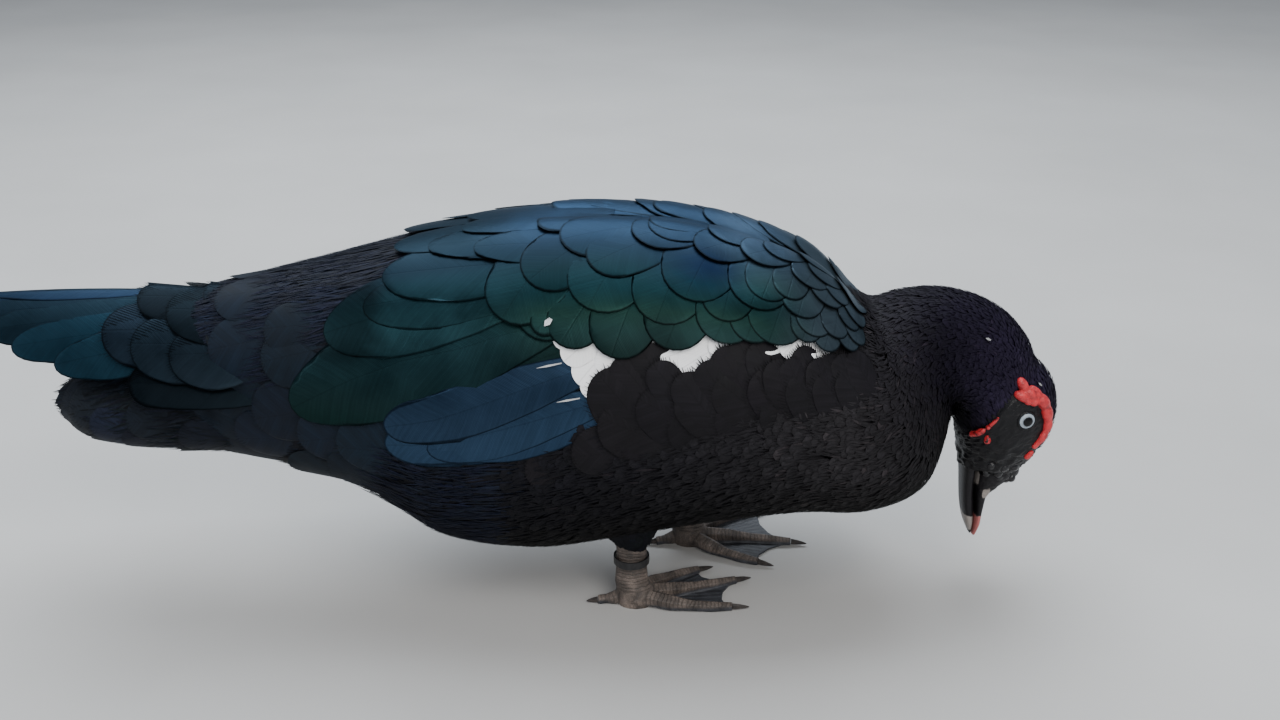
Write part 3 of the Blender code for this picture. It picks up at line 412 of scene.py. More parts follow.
def fringe(surface, kind, laid, heading, length, width, tip_lift, rise, rng, *, step=BODY_STEP, camber=0.0,
           count=60, over=0.0024, base=None):
    """Barbs that fray the outlines of laid vanes: each runs from the shaft to just past the edge."""
    heading, length, width, tip_lift, rise = (x[:, None] for x in np.broadcast_arrays(
        *[np.asarray(x, float) for x in (heading, length, width, tip_lift, rise)]))
    spots = kind.walked[-1] * (0.10 + 0.80 * (np.arange(count) + 0.5) / count)
    out, share, back, across = (np.interp(spots, kind.walked, column)[None] for column in kind.outline.T)
    end_x, end_y = out * width, share * length - back * width
    root_y = np.clip(end_y - 2.0 * np.abs(end_x) - 0.004, 0.0, None)
    reach, ahead = end_x, end_y - root_y
    shares = np.clip(root_y / length, 0, 1)
    mid = [np.stack([np.interp(s, kind.shares, row) for s, row in zip(shares, values)]) for values in laid[4]]
    size = rng.uniform(0.3, 1.6, reach.shape)
    level = lambda y: tip_lift - rise * (1 - y / length)
    tip = level(end_y) - camber * width * across**2 + 0.0004
    flat = lambda x: np.broadcast_to(x, reach.shape).ravel()
    return lay(surface, WISP, flat(mid[0]), flat(mid[1]), flat(heading + np.arctan2(reach, ahead)),
               flat(np.hypot(reach, ahead) + over * size), 0.0013, flat(tip), flat(tip - level(root_y) + 0.0004),
               step=step, thick=0.0002, base=base)


def body_unwrap(spot):
    """Where a root on the body lies on an unwrap of the body."""
    return np.stack([(spot[:, 0] + 2.0) / 26.0, (spot[:, 1] / (2 * math.pi)) % 1.0], -1)


def fill_mesh(name, corners, faces):
    mesh = bpy.data.meshes.new(name)
    mesh.from_pydata(corners, [], faces)
    mesh.shade_smooth()
    return mesh


def set_attribute(mesh, name, kind, values):
    field = "color" if kind == "FLOAT_COLOR" else "value"
    mesh.attributes.new(name, kind, "POINT").data.foreach_set(field, np.asarray(values, np.float32).ravel())


class Plumage:
    """Gathers vanes of one finish into one mesh piece."""

    def __init__(self, name):
        self.name, self.batches = name, []

    def add(self, kind, laid, tint, unwrap=body_unwrap):
        """tint is one colour, one for each vane or one for each vertex of each vane."""
        tint = tint[:, None] if np.ndim(tint) == 2 else tint
        self.batches.append((kind, laid, unwrap, np.broadcast_to(tint, (*laid[0].shape[:2], 3))))

    def build(self, material, slot, replaced=(), left=False):
        corners, faces, metric, patches, tints, edges, rims = [], [], [], [], [], [], []
        count, cell = 0, 0
        large = sum(len(laid[0]) for _, laid, unwrap, _ in self.batches if unwrap is None)
        side = max(1, math.ceil(math.sqrt(large)))
        for kind, (points, measure, roots, edge, *_), unwrap, tint in self.batches:
            n, m = points.shape[:2]
            local = np.stack([kind.across * kind.half * 0.5 + 0.5, kind.share], -1)[None]
            if unwrap is None:
                index = cell + np.arange(n)
                corner = np.stack([index % side, index // side], -1)[:, None, :]
                patches.append(((corner + 0.04 + 0.92 * local) / side).reshape(-1, 2))
                cell += n
            else:
                patches.append((unwrap(roots)[:, None, :] * 0.99 + 0.003 * local).reshape(-1, 2))
            corners.append(points.reshape(-1, 3))
            faces.append((kind.faces[None] + count + m * np.arange(n)[:, None, None]).reshape(-1, 4))
            metric.append(measure.reshape(-1, 2))
            tints.append(tint.reshape(-1, 3))
            edges.append(edge.ravel())
            rims.append(np.tile(kind.rim, n))
            count += n * m
        corners, faces = np.concatenate(corners), np.concatenate(faces)
        if left:
            corners, faces = corners * (1, -1, 1), faces[:, ::-1]
        mesh = fill_mesh(self.name, corners, faces)
        order = faces.reshape(-1)
        for name, values in (("OFBake", patches), ("Vane", metric)):
            layer = mesh.uv_layers.new(name=name)
            layer.uv.foreach_set("vector", np.concatenate(values)[order].astype(np.float32).ravel())
        set_attribute(mesh, "tint", "FLOAT_COLOR", np.c_[np.concatenate(tints), np.ones(count)])
        set_attribute(mesh, "edge", "FLOAT", np.concatenate(edges))
        ends = np.empty(len(mesh.edges) * 2, np.int32)
        mesh.edges.foreach_get("vertices", ends)
        sharp = np.concatenate(rims)[ends].reshape(-1, 2).all(1)
        mesh.attributes.new("sharp_edge", "BOOLEAN", "EDGE").data.foreach_set("value", sharp)
        mesh.update()
        return finish_piece(mesh, material, replaced)


def finish_piece(mesh, material, replaced=()):
    """Puts a mesh in the scene, on the drake's one body."""
    piece = bpy.data.objects.new(mesh.name, mesh)
    bpy.context.scene.collection.objects.link(piece)
    mesh.materials.clear()
    mesh.materials.append(material)
    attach(piece, "root")
    if replaced:
        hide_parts(*replaced)
    return piece


def scatter(surface, u_range, v_range, spacing, seed, step=BODY_STEP, keep=None, tries=12):
    """Evenly spread spots on a surface. spacing gives their distance in metres at u and v."""
    rng = np.random.default_rng(seed)
    gu, gv = (g.ravel() for g in np.meshgrid(np.linspace(*u_range, 60), np.linspace(*v_range, 60)))
    _, along, around, _ = frames(surface, gu, gv, step)
    density = np.linalg.norm(np.cross(along, around), axis=-1) / spacing(gu, gv) ** 2
    total = density.mean() * (u_range[1] - u_range[0]) * (v_range[1] - v_range[0])
    count = int(density.max() * (u_range[1] - u_range[0]) * (v_range[1] - v_range[0]) * tries / 4)
    count = min(count, int(total * tries * 3))
    u, v = rng.uniform(*u_range, count), rng.uniform(*v_range, count)
    _, along, around, _ = frames(surface, u, v, step)
    chance = np.linalg.norm(np.cross(along, around), axis=-1) / spacing(u, v) ** 2
    taken = rng.uniform(0, density.max(), count) < chance
    if keep is not None:
        taken &= keep(u, v)
    u, v = u[taken], v[taken]
    points, gaps = surface(u, v), spacing(u, v) * 0.80
    chosen, cells = np.zeros(len(u), bool), {}
    keys = np.floor(points / gaps.max()).astype(int).tolist()
    spots, limits = points.tolist(), (gaps**2).tolist()
    for i, (x, y, z) in enumerate(keys):
        px, py, pz = spots[i]
        limit, clear = limits[i], True
        for a in (x - 1, x, x + 1):
            for b in (y - 1, y, y + 1):
                for c in (z - 1, z, z + 1):
                    for qx, qy, qz in cells.get((a, b, c), ()):
                        if (qx - px) ** 2 + (qy - py) ** 2 + (qz - pz) ** 2 < limit:
                            clear = False
                            break
        if clear:
            chosen[i] = True
            cells.setdefault((x, y, z), []).append((px, py, pz))
    return u[chosen], v[chosen], rng


# Materials.

def material(name):
    made = bpy.data.materials.new(name)
    made.use_nodes = True
    tree = made.node_tree
    return made, tree, tree.nodes["Principled BSDF"]


def node(tree, kind, inputs=None, **settings):
    made = tree.nodes.new(kind)
    for key, value in settings.items():
        setattr(made, key, value)
    for key, value in (inputs or {}).items():
        if isinstance(value, bpy.types.NodeSocket):
            tree.links.new(value, made.inputs[key])
        else:
            made.inputs[key].default_value = value
    return made


def maths(tree, operation, a, b=0.0):
    return node(tree, "ShaderNodeMath", {0: a, 1: b}, operation=operation).outputs[0]


def mix(tree, share, a, b, blend="MIX"):
    values = {0: share}
    for index, value in ((6, a), (7, b)):
        values[index] = value if isinstance(value, bpy.types.NodeSocket) else (*value, 1.0)
    return node(tree, "ShaderNodeMix", values, data_type="RGBA", blend_type=blend).outputs[2]


def ramp(tree, value, stops):
    """A colour ramp: stops are places and colours."""
    made = node(tree, "ShaderNodeValToRGB", {0: value})
    band = made.color_ramp
    while len(band.elements) < len(stops):
        band.elements.new(0.5)
    for element, (place, colour) in zip(band.elements, stops):
        element.position = place
        element.color = (*colour, 1.0)
    return made.outputs[0]


def spans(tree, value, low, high, to_low=0.0, to_high=1.0):
    return node(tree, "ShaderNodeMapRange", {0: value, 1: low, 2: high, 3: to_low, 4: to_high}).outputs[0]


def attribute(tree, name, output="Fac"):
    return node(tree, "ShaderNodeAttribute", attribute_name=name).outputs[output]


def object_noise(tree, scale, detail=4.0, roughness=0.55):
    spot = node(tree, "ShaderNodeTexCoord").outputs["Object"]
    return node(tree, "ShaderNodeTexNoise", {"Vector": spot, "Scale": scale, "Detail": detail,
                                             "Roughness": roughness}).outputs[0]


def object_cells(tree, scale, feature="F1"):
    spot = node(tree, "ShaderNodeTexCoord").outputs["Object"]
    return node(tree, "ShaderNodeTexVoronoi", {"Vector": spot, "Scale": scale}, feature=feature).outputs[0]


def feather_material(name, metallic, roughness, rim, rim_dark, barb_depth, mottle, specular=0.5,
                     edge_tint=(1.0, 1.0, 1.0)):
    """A feather: its own tint, a dark rim, fine barbs at a slant and a shaft down the middle."""
    made, tree, shader = material(name)
    tint = attribute(tree, "tint", "Color")
    edge = attribute(tree, "edge")
    where = node(tree, "ShaderNodeUVMap", uv_map="Vane").outputs[0]
    parts = node(tree, "ShaderNodeSeparateXYZ", {0: where})
    aside = maths(tree, "ABSOLUTE", parts.outputs[0])
    slant = maths(tree, "ADD", parts.outputs[1], maths(tree, "MULTIPLY", aside, -0.9))
    wander = node(tree, "ShaderNodeTexNoise", {"Vector": where, "Scale": 60.0, "Detail": 2.0}).outputs[0]
    phase = maths(tree, "ADD", maths(tree, "MULTIPLY", slant, 5200.0), maths(tree, "MULTIPLY", wander, 9.0))
    barbs = spans(tree, maths(tree, "SINE", phase), -1.0, 1.0)
    combed = node(tree, "ShaderNodeCombineXYZ", {0: maths(tree, "MULTIPLY", slant, 420.0),
                                                 1: maths(tree, "MULTIPLY", aside, 30.0)}).outputs[0]
    streaks = node(tree, "ShaderNodeTexNoise", {"Vector": combed, "Scale": 1.0, "Detail": 3.0}).outputs[0]
    shaft = spans(tree, aside, 0.0002, 0.0007, 1.0, 0.0)
    clouds = object_noise(tree, 45.0)
    shade = maths(tree, "MULTIPLY", spans(tree, clouds, 0.3, 0.7, 1 - mottle, 1 + mottle),
                  spans(tree, barbs, 0.0, 1.0, 0.93, 1.04))
    shade = maths(tree, "MULTIPLY", shade, spans(tree, streaks, 0.35, 0.65, 1 - mottle, 1 + mottle))
    shade = maths(tree, "MULTIPLY", shade, spans(tree, edge, rim * 0.45, rim * 1.3, 1 - rim_dark, 1.0))
    shade = maths(tree, "MULTIPLY", shade, spans(tree, shaft, 0.0, 1.0, 1.0, 0.85))
    grey = node(tree, "ShaderNodeCombineColor", {0: shade, 1: shade, 2: shade}).outputs[0]
    colour = mix(tree, 1.0, tint, grey, "MULTIPLY")
    tree.links.new(colour, shader.inputs["Base Color"])
    shader.inputs["Metallic"].default_value = metallic
    shader.inputs["Specular IOR Level"].default_value = specular
    shader.inputs["Specular Tint"].default_value = (*edge_tint, 1.0)
    tree.links.new(spans(tree, clouds, 0.3, 0.7, roughness - 0.05, roughness + 0.07), shader.inputs["Roughness"])
    height = maths(tree, "ADD", maths(tree, "MULTIPLY", barbs, barb_depth),
                   maths(tree, "ADD", maths(tree, "MULTIPLY", shaft, 0.00006),
                         maths(tree, "MULTIPLY", streaks, barb_depth * 4)))
    bump = node(tree, "ShaderNodeBump", {"Height": height, "Strength": 0.6, "Distance": 1.0})
    tree.links.new(bump.outputs[0], shader.inputs["Normal"])
    return made


def plain_material(name, colour, roughness, height, depth, **sockets):
    """A finish from a function that colours it and one that gives the height of its bumps."""
    made, tree, shader = material(name)
    tree.links.new(colour(tree), shader.inputs["Base Color"])
    shader.inputs["Roughness"].default_value = roughness
    for socket, value in sockets.items():
        shader.inputs[socket.replace("_", " ")].default_value = value
    bump = node(tree, "ShaderNodeBump", {"Height": height(tree), "Strength": 0.6, "Distance": depth})
    tree.links.new(bump.outputs[0], shader.inputs["Normal"])
    return made


def finish(name):
    """The named finish, made once."""
    if name not in bpy.data.materials:
        FINISHES[name](bpy.context.scene.drake)
    return bpy.data.materials[name]


def black_skin(drake):
    plain_material("bare_black_skin",
                   lambda tree: ramp(tree, object_noise(tree, 150.0, 5.0),
                                     ((0.30, (0.0020, 0.0020, 0.0030)), (0.6, (0.0046, 0.0042, 0.0056)),
                                      (0.85, (0.0120, 0.0100, 0.0110)))),
                   0.36, lambda tree: maths(tree, "ADD", object_cells(tree, 900.0), object_noise(tree, 500.0)),
                   0.0003, Specular_IOR_Level=0.28)


def shades(colour, *factors):
    """Darker and lighter ones of a colour."""
    return [tuple(min(1.0, c * f) for c in colour) for f in factors]


def red_caruncle(drake):
    deep, red, light = shades(drake.caruncle_red, 0.35, 1.0, 1.35)

    def colour(tree):
        flesh = ramp(tree, object_noise(tree, 260.0), ((0.25, deep), (0.5, red), (0.8, light)))
        blots = spans(tree, object_noise(tree, 420.0, 3.0), 0.50, 0.66)
        return mix(tree, maths(tree, "MULTIPLY", blots, attribute(tree, "dark")), flesh, (0.012, 0.005, 0.006))
    plain_material("red_caruncle", colour, 0.36, lambda tree: object_cells(tree, 1100.0), 0.0004,
                   Subsurface_Weight=0.12, Subsurface_Radius=(0.004, 0.001, 0.0006))


def mottled_bill(drake):
    def colour(tree):
        shift = maths(tree, "MULTIPLY", maths(tree, "SUBTRACT", object_noise(tree, 190.0, 3.0), 0.5), 1.1)
        dark = ramp(tree, object_noise(tree, 700.0, 3.0), ((0.3, (0.002, 0.002, 0.003)), (0.7, (0.009, 0.007, 0.009))))
        light = mix(tree, spans(tree, maths(tree, "ADD", attribute(tree, "pink"), shift), 0.35, 0.65),
                    (0.26, 0.23, 0.21), (0.46, 0.14, 0.13))
        return mix(tree, spans(tree, maths(tree, "ADD", attribute(tree, "pale"), shift), 0.42, 0.58), dark, light)
    plain_material("mottled_bill", colour, 0.45, lambda tree: object_noise(tree, 600.0, 3.0), 0.0005,
                   Specular_IOR_Level=0.30)


def scaled_leg(drake):
    dark, tan, light = shades(drake.leg_tan, 0.30, 0.85, 1.9)

    def ridges(tree):
        """Plates across shanks and toes, folds along the webs."""
        plates = maths(tree, "SINE", maths(tree, "ADD", maths(tree, "MULTIPLY", attribute(tree, "run"), 2300.0),
                                           maths(tree, "MULTIPLY", object_noise(tree, 160.0), 9.0)))
        folds = maths(tree, "SINE", maths(tree, "ADD", maths(tree, "MULTIPLY", attribute(tree, "turn"), 75.0),
                                          maths(tree, "MULTIPLY", object_noise(tree, 90.0), 6.0)))
        web = attribute(tree, "web")
        return maths(tree, "ADD", maths(tree, "MULTIPLY", spans(tree, plates, -1.0, -0.3),
                                        maths(tree, "SUBTRACT", 1.0, web)),
                     maths(tree, "MULTIPLY", spans(tree, folds, -1.0, 1.0), web))

    def colour(tree):
        skin = ramp(tree, object_noise(tree, 75.0, 5.0), ((0.30, dark), (0.50, tan), (0.70, light)))
        webs = ramp(tree, object_noise(tree, 110.0, 5.0), ((0.30, (0.020, 0.022, 0.028)), (0.7, (0.062, 0.066, 0.078))))
        skin = mix(tree, attribute(tree, "web"), skin, webs)
        grains = spans(tree, object_cells(tree, 620.0, "DISTANCE_TO_EDGE"), 0.0, 0.14, 0.6, 1.0)
        seams = maths(tree, "MULTIPLY", grains, spans(tree, ridges(tree), 0.0, 1.0, 0.62, 1.0))
        return mix(tree, seams, (0.010, 0.009, 0.010), skin)
    plain_material("scaled_leg_skin", colour, 0.58,
                   lambda tree: maths(tree, "ADD", ridges(tree), maths(tree, "MULTIPLY", object_cells(
                       tree, 620.0, "DISTANCE_TO_EDGE"), 0.8)), 0.0007)


def pale_eye(drake):
    dull, mid, pale = shades(drake.iris_blue, 0.5, 0.9, 1.1)

    def colour(tree):
        shift = maths(tree, "MULTIPLY", maths(tree, "SUBTRACT", object_noise(tree, 900.0, 3.0), 0.5), 0.05)
        return ramp(tree, maths(tree, "ADD", attribute(tree, "reach"), shift),
                    ((0.0, (0.0005, 0.0005, 0.001)), (0.40, (0.001, 0.001, 0.002)), (0.44, dull), (0.52, mid),
                     (0.62, pale), (0.70, (0.010, 0.010, 0.012))))
    plain_material("pale_blue_eye", colour, 0.35, lambda tree: object_noise(tree, 300.0), 0.00002,
                   Specular_IOR_Level=0.15, Coat_Weight=0.2, Coat_Roughness=0.02)


# The tint that keeps the gloss from paling where it is seen at a slant.
DEEP_GLOSS = (0.60, 0.70, 0.80)
FINISHES = {
    "glossed_mantle_feather": lambda drake: feather_material(
        "glossed_mantle_feather", 0.85, drake.gloss_roughness, drake.rim_width, 0.82, 0.00003, 0.08, 0.2,
        DEEP_GLOSS),
    "glossed_flight_feather": lambda drake: feather_material(
        "glossed_flight_feather", 0.85, drake.gloss_roughness - 0.03, drake.rim_width * 0.7, 0.65, 0.00004, 0.10, 0.2,
        DEEP_GLOSS),
    "white_covert_feather": lambda drake: feather_material(
        "white_covert_feather", 0.0, 0.60, drake.rim_width, 0.02, 0.00002, 0.02),
    "dull_black_feather": lambda drake: feather_material(
        "dull_black_feather", 0.0, 0.62, drake.rim_width * 0.5, 0.15, 0.00003, 0.20, specular=0.13),
    "black_velvet_feather": lambda drake: feather_material(
        "black_velvet_feather", 0.0, 0.70, drake.rim_width * 0.3, 0.0, 0.00002, 0.15, specular=0.12),
    "bare_black_skin": black_skin,
    "red_caruncle": red_caruncle,
    "mottled_bill": mottled_bill,
    "black_knob": lambda drake: plain_material(
        "black_knob", lambda tree: ramp(tree, object_noise(tree, 320.0, 4.0), (
            (0.35, (0.003, 0.003, 0.004)), (0.62, (0.008, 0.007, 0.009)), (0.80, (0.030, 0.026, 0.028)))),
        0.27, lambda tree: object_cells(tree, 800.0), 0.0003, Specular_IOR_Level=0.5),
    "scaled_leg_skin": scaled_leg,
    "pale_blue_eye": pale_eye,
    "dark_claw": lambda drake: plain_material(
        "dark_claw", lambda tree: ramp(tree, object_noise(tree, 400.0, 3.0),
                                       ((0.3, (0.014, 0.012, 0.012)), (0.7, (0.060, 0.050, 0.045)))),
        0.38, lambda tree: object_noise(tree, 500.0), 0.0003),
    "black_band": lambda drake: plain_material(
        "black_band", lambda tree: ramp(tree, object_noise(tree, 320.0), ((0.3, (0.006, 0.006, 0.007)),
                                                                          (0.75, (0.022, 0.022, 0.024)))),
        0.36, lambda tree: object_noise(tree, 700.0), 0.0001),
    "pale_floor": lambda drake: plain_material(
        "pale_floor", lambda tree: ramp(tree, object_noise(tree, 3.0), tuple(zip((0.3, 0.7), shades(
            drake.floor_grey, 0.95, 1.05)))), 0.9, lambda tree: object_noise(tree, 60.0), 0.0002),
}


def tinted(rng, count, colour, spread):
    """Colours near one colour, a little lighter or darker each."""
    shade = np.exp(rng.normal(0, spread, (count, 1)))
    return np.clip(np.array(colour) * shade * np.exp(rng.normal(0, spread * 0.3, (count, 3))), 0, 1)


def blend_by(values, places, colours):
    """Colours read off a scale of places, one for each value."""
    colours = np.array(colours)
    return np.stack([np.interp(values, places, colours[:, i]) for i in range(3)], -1)


# Skin and coat.

def closed_tube(name, points):
    """A closed skin over rings of points, made from a grid wrapped round."""
    rings, around = points.shape[:2]
    bm = bmesh.new()
    bmesh.ops.create_grid(bm, x_segments=around, y_segments=rings - 1, size=1.0)
    bm.verts.ensure_lookup_table()
    for i, vertex in enumerate(bm.verts):
        vertex.co = points[i // (around + 1), i % (around + 1) % around]
    bmesh.ops.remove_doubles(bm, verts=bm.verts[:], dist=1e-7)
    bmesh.ops.holes_fill(bm, edges=[e for e in bm.edges if e.is_boundary], sides=0)
    bmesh.ops.recalc_face_normals(bm, faces=bm.faces[:])
    mesh = bpy.data.meshes.new(name)
    bm.to_mesh(mesh)
    bm.free()
    mesh.shade_smooth()
    return mesh


def noise_at(points, *scales):
    """Smooth noise at points: scales are pairs of a scale and a weight."""
    flat = [sum(weight * noise.noise(Vector(p) * scale) for scale, weight in scales)
            for p in points.reshape(-1, 3)]
    return np.array(flat).reshape(points.shape[:-1])


def core_tube(name, surface, places, step, depth, rings=48):
    """A closed tube along a surface, as deep under it as the coat is thick."""
    u, v = np.meshgrid(places, np.linspace(0, 2 * math.pi, rings + 1)[:-1], indexing="ij")
    point, _, _, normal = frames(surface, u, v, step)
    return closed_tube(name, point - normal * depth)


def tail_core(share, angle):
    """A section round the core of the tail: share is 0 at its root and -1 at its tips."""
    table = np.array(TAIL_CORE)
    half, drop, thick = (np.interp(-share, table[:, 0], table[:, i]) for i in (1, 2, 3))
    across = half * np.sin(angle)
    top = tail_roof(share, across)
    top[..., 2] += thick * (np.cos(angle) - 1) / 2 - drop
    return top


def united(meshes):
    """One closed mesh of several closed ones, without the walls between them."""
    whole = [bpy.data.objects.new(mesh.name, mesh) for mesh in meshes]
    for each in whole:
        bpy.context.scene.collection.objects.link(each)
    for part in whole[1:]:
        join = whole[0].modifiers.new("Join " + part.name, "BOOLEAN")
        join.operation, join.solver, join.object = "UNION", "EXACT", part
    made = bpy.data.meshes.new_from_object(whole[0].evaluated_get(bpy.context.evaluated_depsgraph_get()))
    for each, mesh in zip(whole, meshes):
        bpy.data.objects.remove(each, do_unlink=True)
        bpy.data.meshes.remove(mesh)
    made.shade_smooth()
    return made


def build_skin(drake):
    place = np.concatenate([np.linspace(-0.2, 11, 80), np.linspace(11.08, 16, 40), np.linspace(16.05, 22.1, 130)])
    u, v = np.meshgrid(place, np.linspace(0, 2 * math.pi, 145)[:-1], indexing="ij")
    point, _, _, normal = frames(body, u, v, BODY_STEP)
    bare = np.clip((u - bare_edge(v)) / 0.25 + 0.5, 0, 1)
    rough = smooth(u, 18.6, 20.4) * smooth(degrees_from_back(v), 60, 95)
    warts = noise_at(point, (420, 1.0), (1100, 0.5)) * bare * (1 - rough) * 0.0008
    warts = warts + noise_at(point, (130, 1.0), (330, 0.35)) * bare * rough * 0.0026
    lift = -skin_depth(u) * (1 - bare) + bare * 0.0002 + warts
    parts = [closed_tube("skin", point + normal * lift[..., None]),
             core_tube("wedge", undertail, np.linspace(0.4, -5.0, 30), UNDERTAIL_STEP, 0.0035),
             core_tube("tail", tail_core, np.linspace(0.08, -0.53, 30), (0.01, 0.02), 0.0)]
    parts += [core_tube("thigh_" + side, thigh(side), np.linspace(0.06, 0.95, 20), BODY_STEP, 0.0035)
              for side in THIGHS]
    skin = united(parts)
    skin.name = "skin"
    finish_piece(skin, finish("bare_black_skin"),
                 ("torso", "rump", "neck", "head", "thigh_right", "thigh_left", "undertail_coverts"))


def coat(drake, name, kind, u_range, spacing, length, width, seed, cloth, slot, colours, keep=None,
         rise=0.0050, tip=None, wander=0.12, surface=body, step=BODY_STEP, unwrap=body_unwrap, camber=0.03,
         tilt=0.12, thick=0.0002):
    """A coat of small feathers over a length of the body."""
    scaled = lambda u, v: spacing(u, v) / drake.coat_closeness
    u, v, rng = scatter(surface, u_range, (-math.pi, math.pi), scaled, seed, step, keep)
    count = len(u)
    size = np.exp(rng.normal(0, 0.10, count))
    heading = rng.normal(0, wander, count) + np.where(np.sin(v) > 0, 1, -1) * tilt
    tip = drake.coat_lift if tip is None else tip
    laid = lay(surface, kind, u, v, heading, length(u, v) * size, width(u, v) * size,
               tip + rng.normal(0, 0.00012, count), rise, step=step, camber=camber, thick=thick)
    plumage = Plumage(name)
    plumage.add(kind, laid, colours(u, v, rng), unwrap)
    return plumage.build(finish(cloth), slot)


def along_body(places, values):
    return lambda u, v: np.interp(u, places, values)


def black_tints(drake):
    """The plumage's blacks: charcoal on the breast, black with a purple cast on the neck, with painted shade under the
    body.
    """
    black = np.array(drake.plumage_black)
    scale = [black * f for f in ((0.5, 1.1, 2.6), (0.6, 0.8, 1.4), (1.2, 1.2, 1.6), (4.4, 4.3, 4.2),
                                 (2.0, 1.8, 2.1), (0.8, 0.55, 1.5), (4.2, 3.3, 6.8))]

    def tints(u, v, rng):
        base = blend_by(u, (-1, 3.5, 6, 9, 11, 13, 17), scale)
        # Painted shade: the feathers are darkened towards the underside of the body.
        base = base * np.interp(degrees_from_back(v), (100, 140), (1.0, 0.20))[:, None]
        brown = (rng.random(len(u)) < np.where((u > 8.0) & (u < 11.0), 0.06, 0.01))[:, None]
        made = base * np.exp(rng.normal(0, 0.11, (len(u), 1)))
        return np.where(brown, made * 1.5 + (0.006, 0.0035, 0.003), made)
    return tints


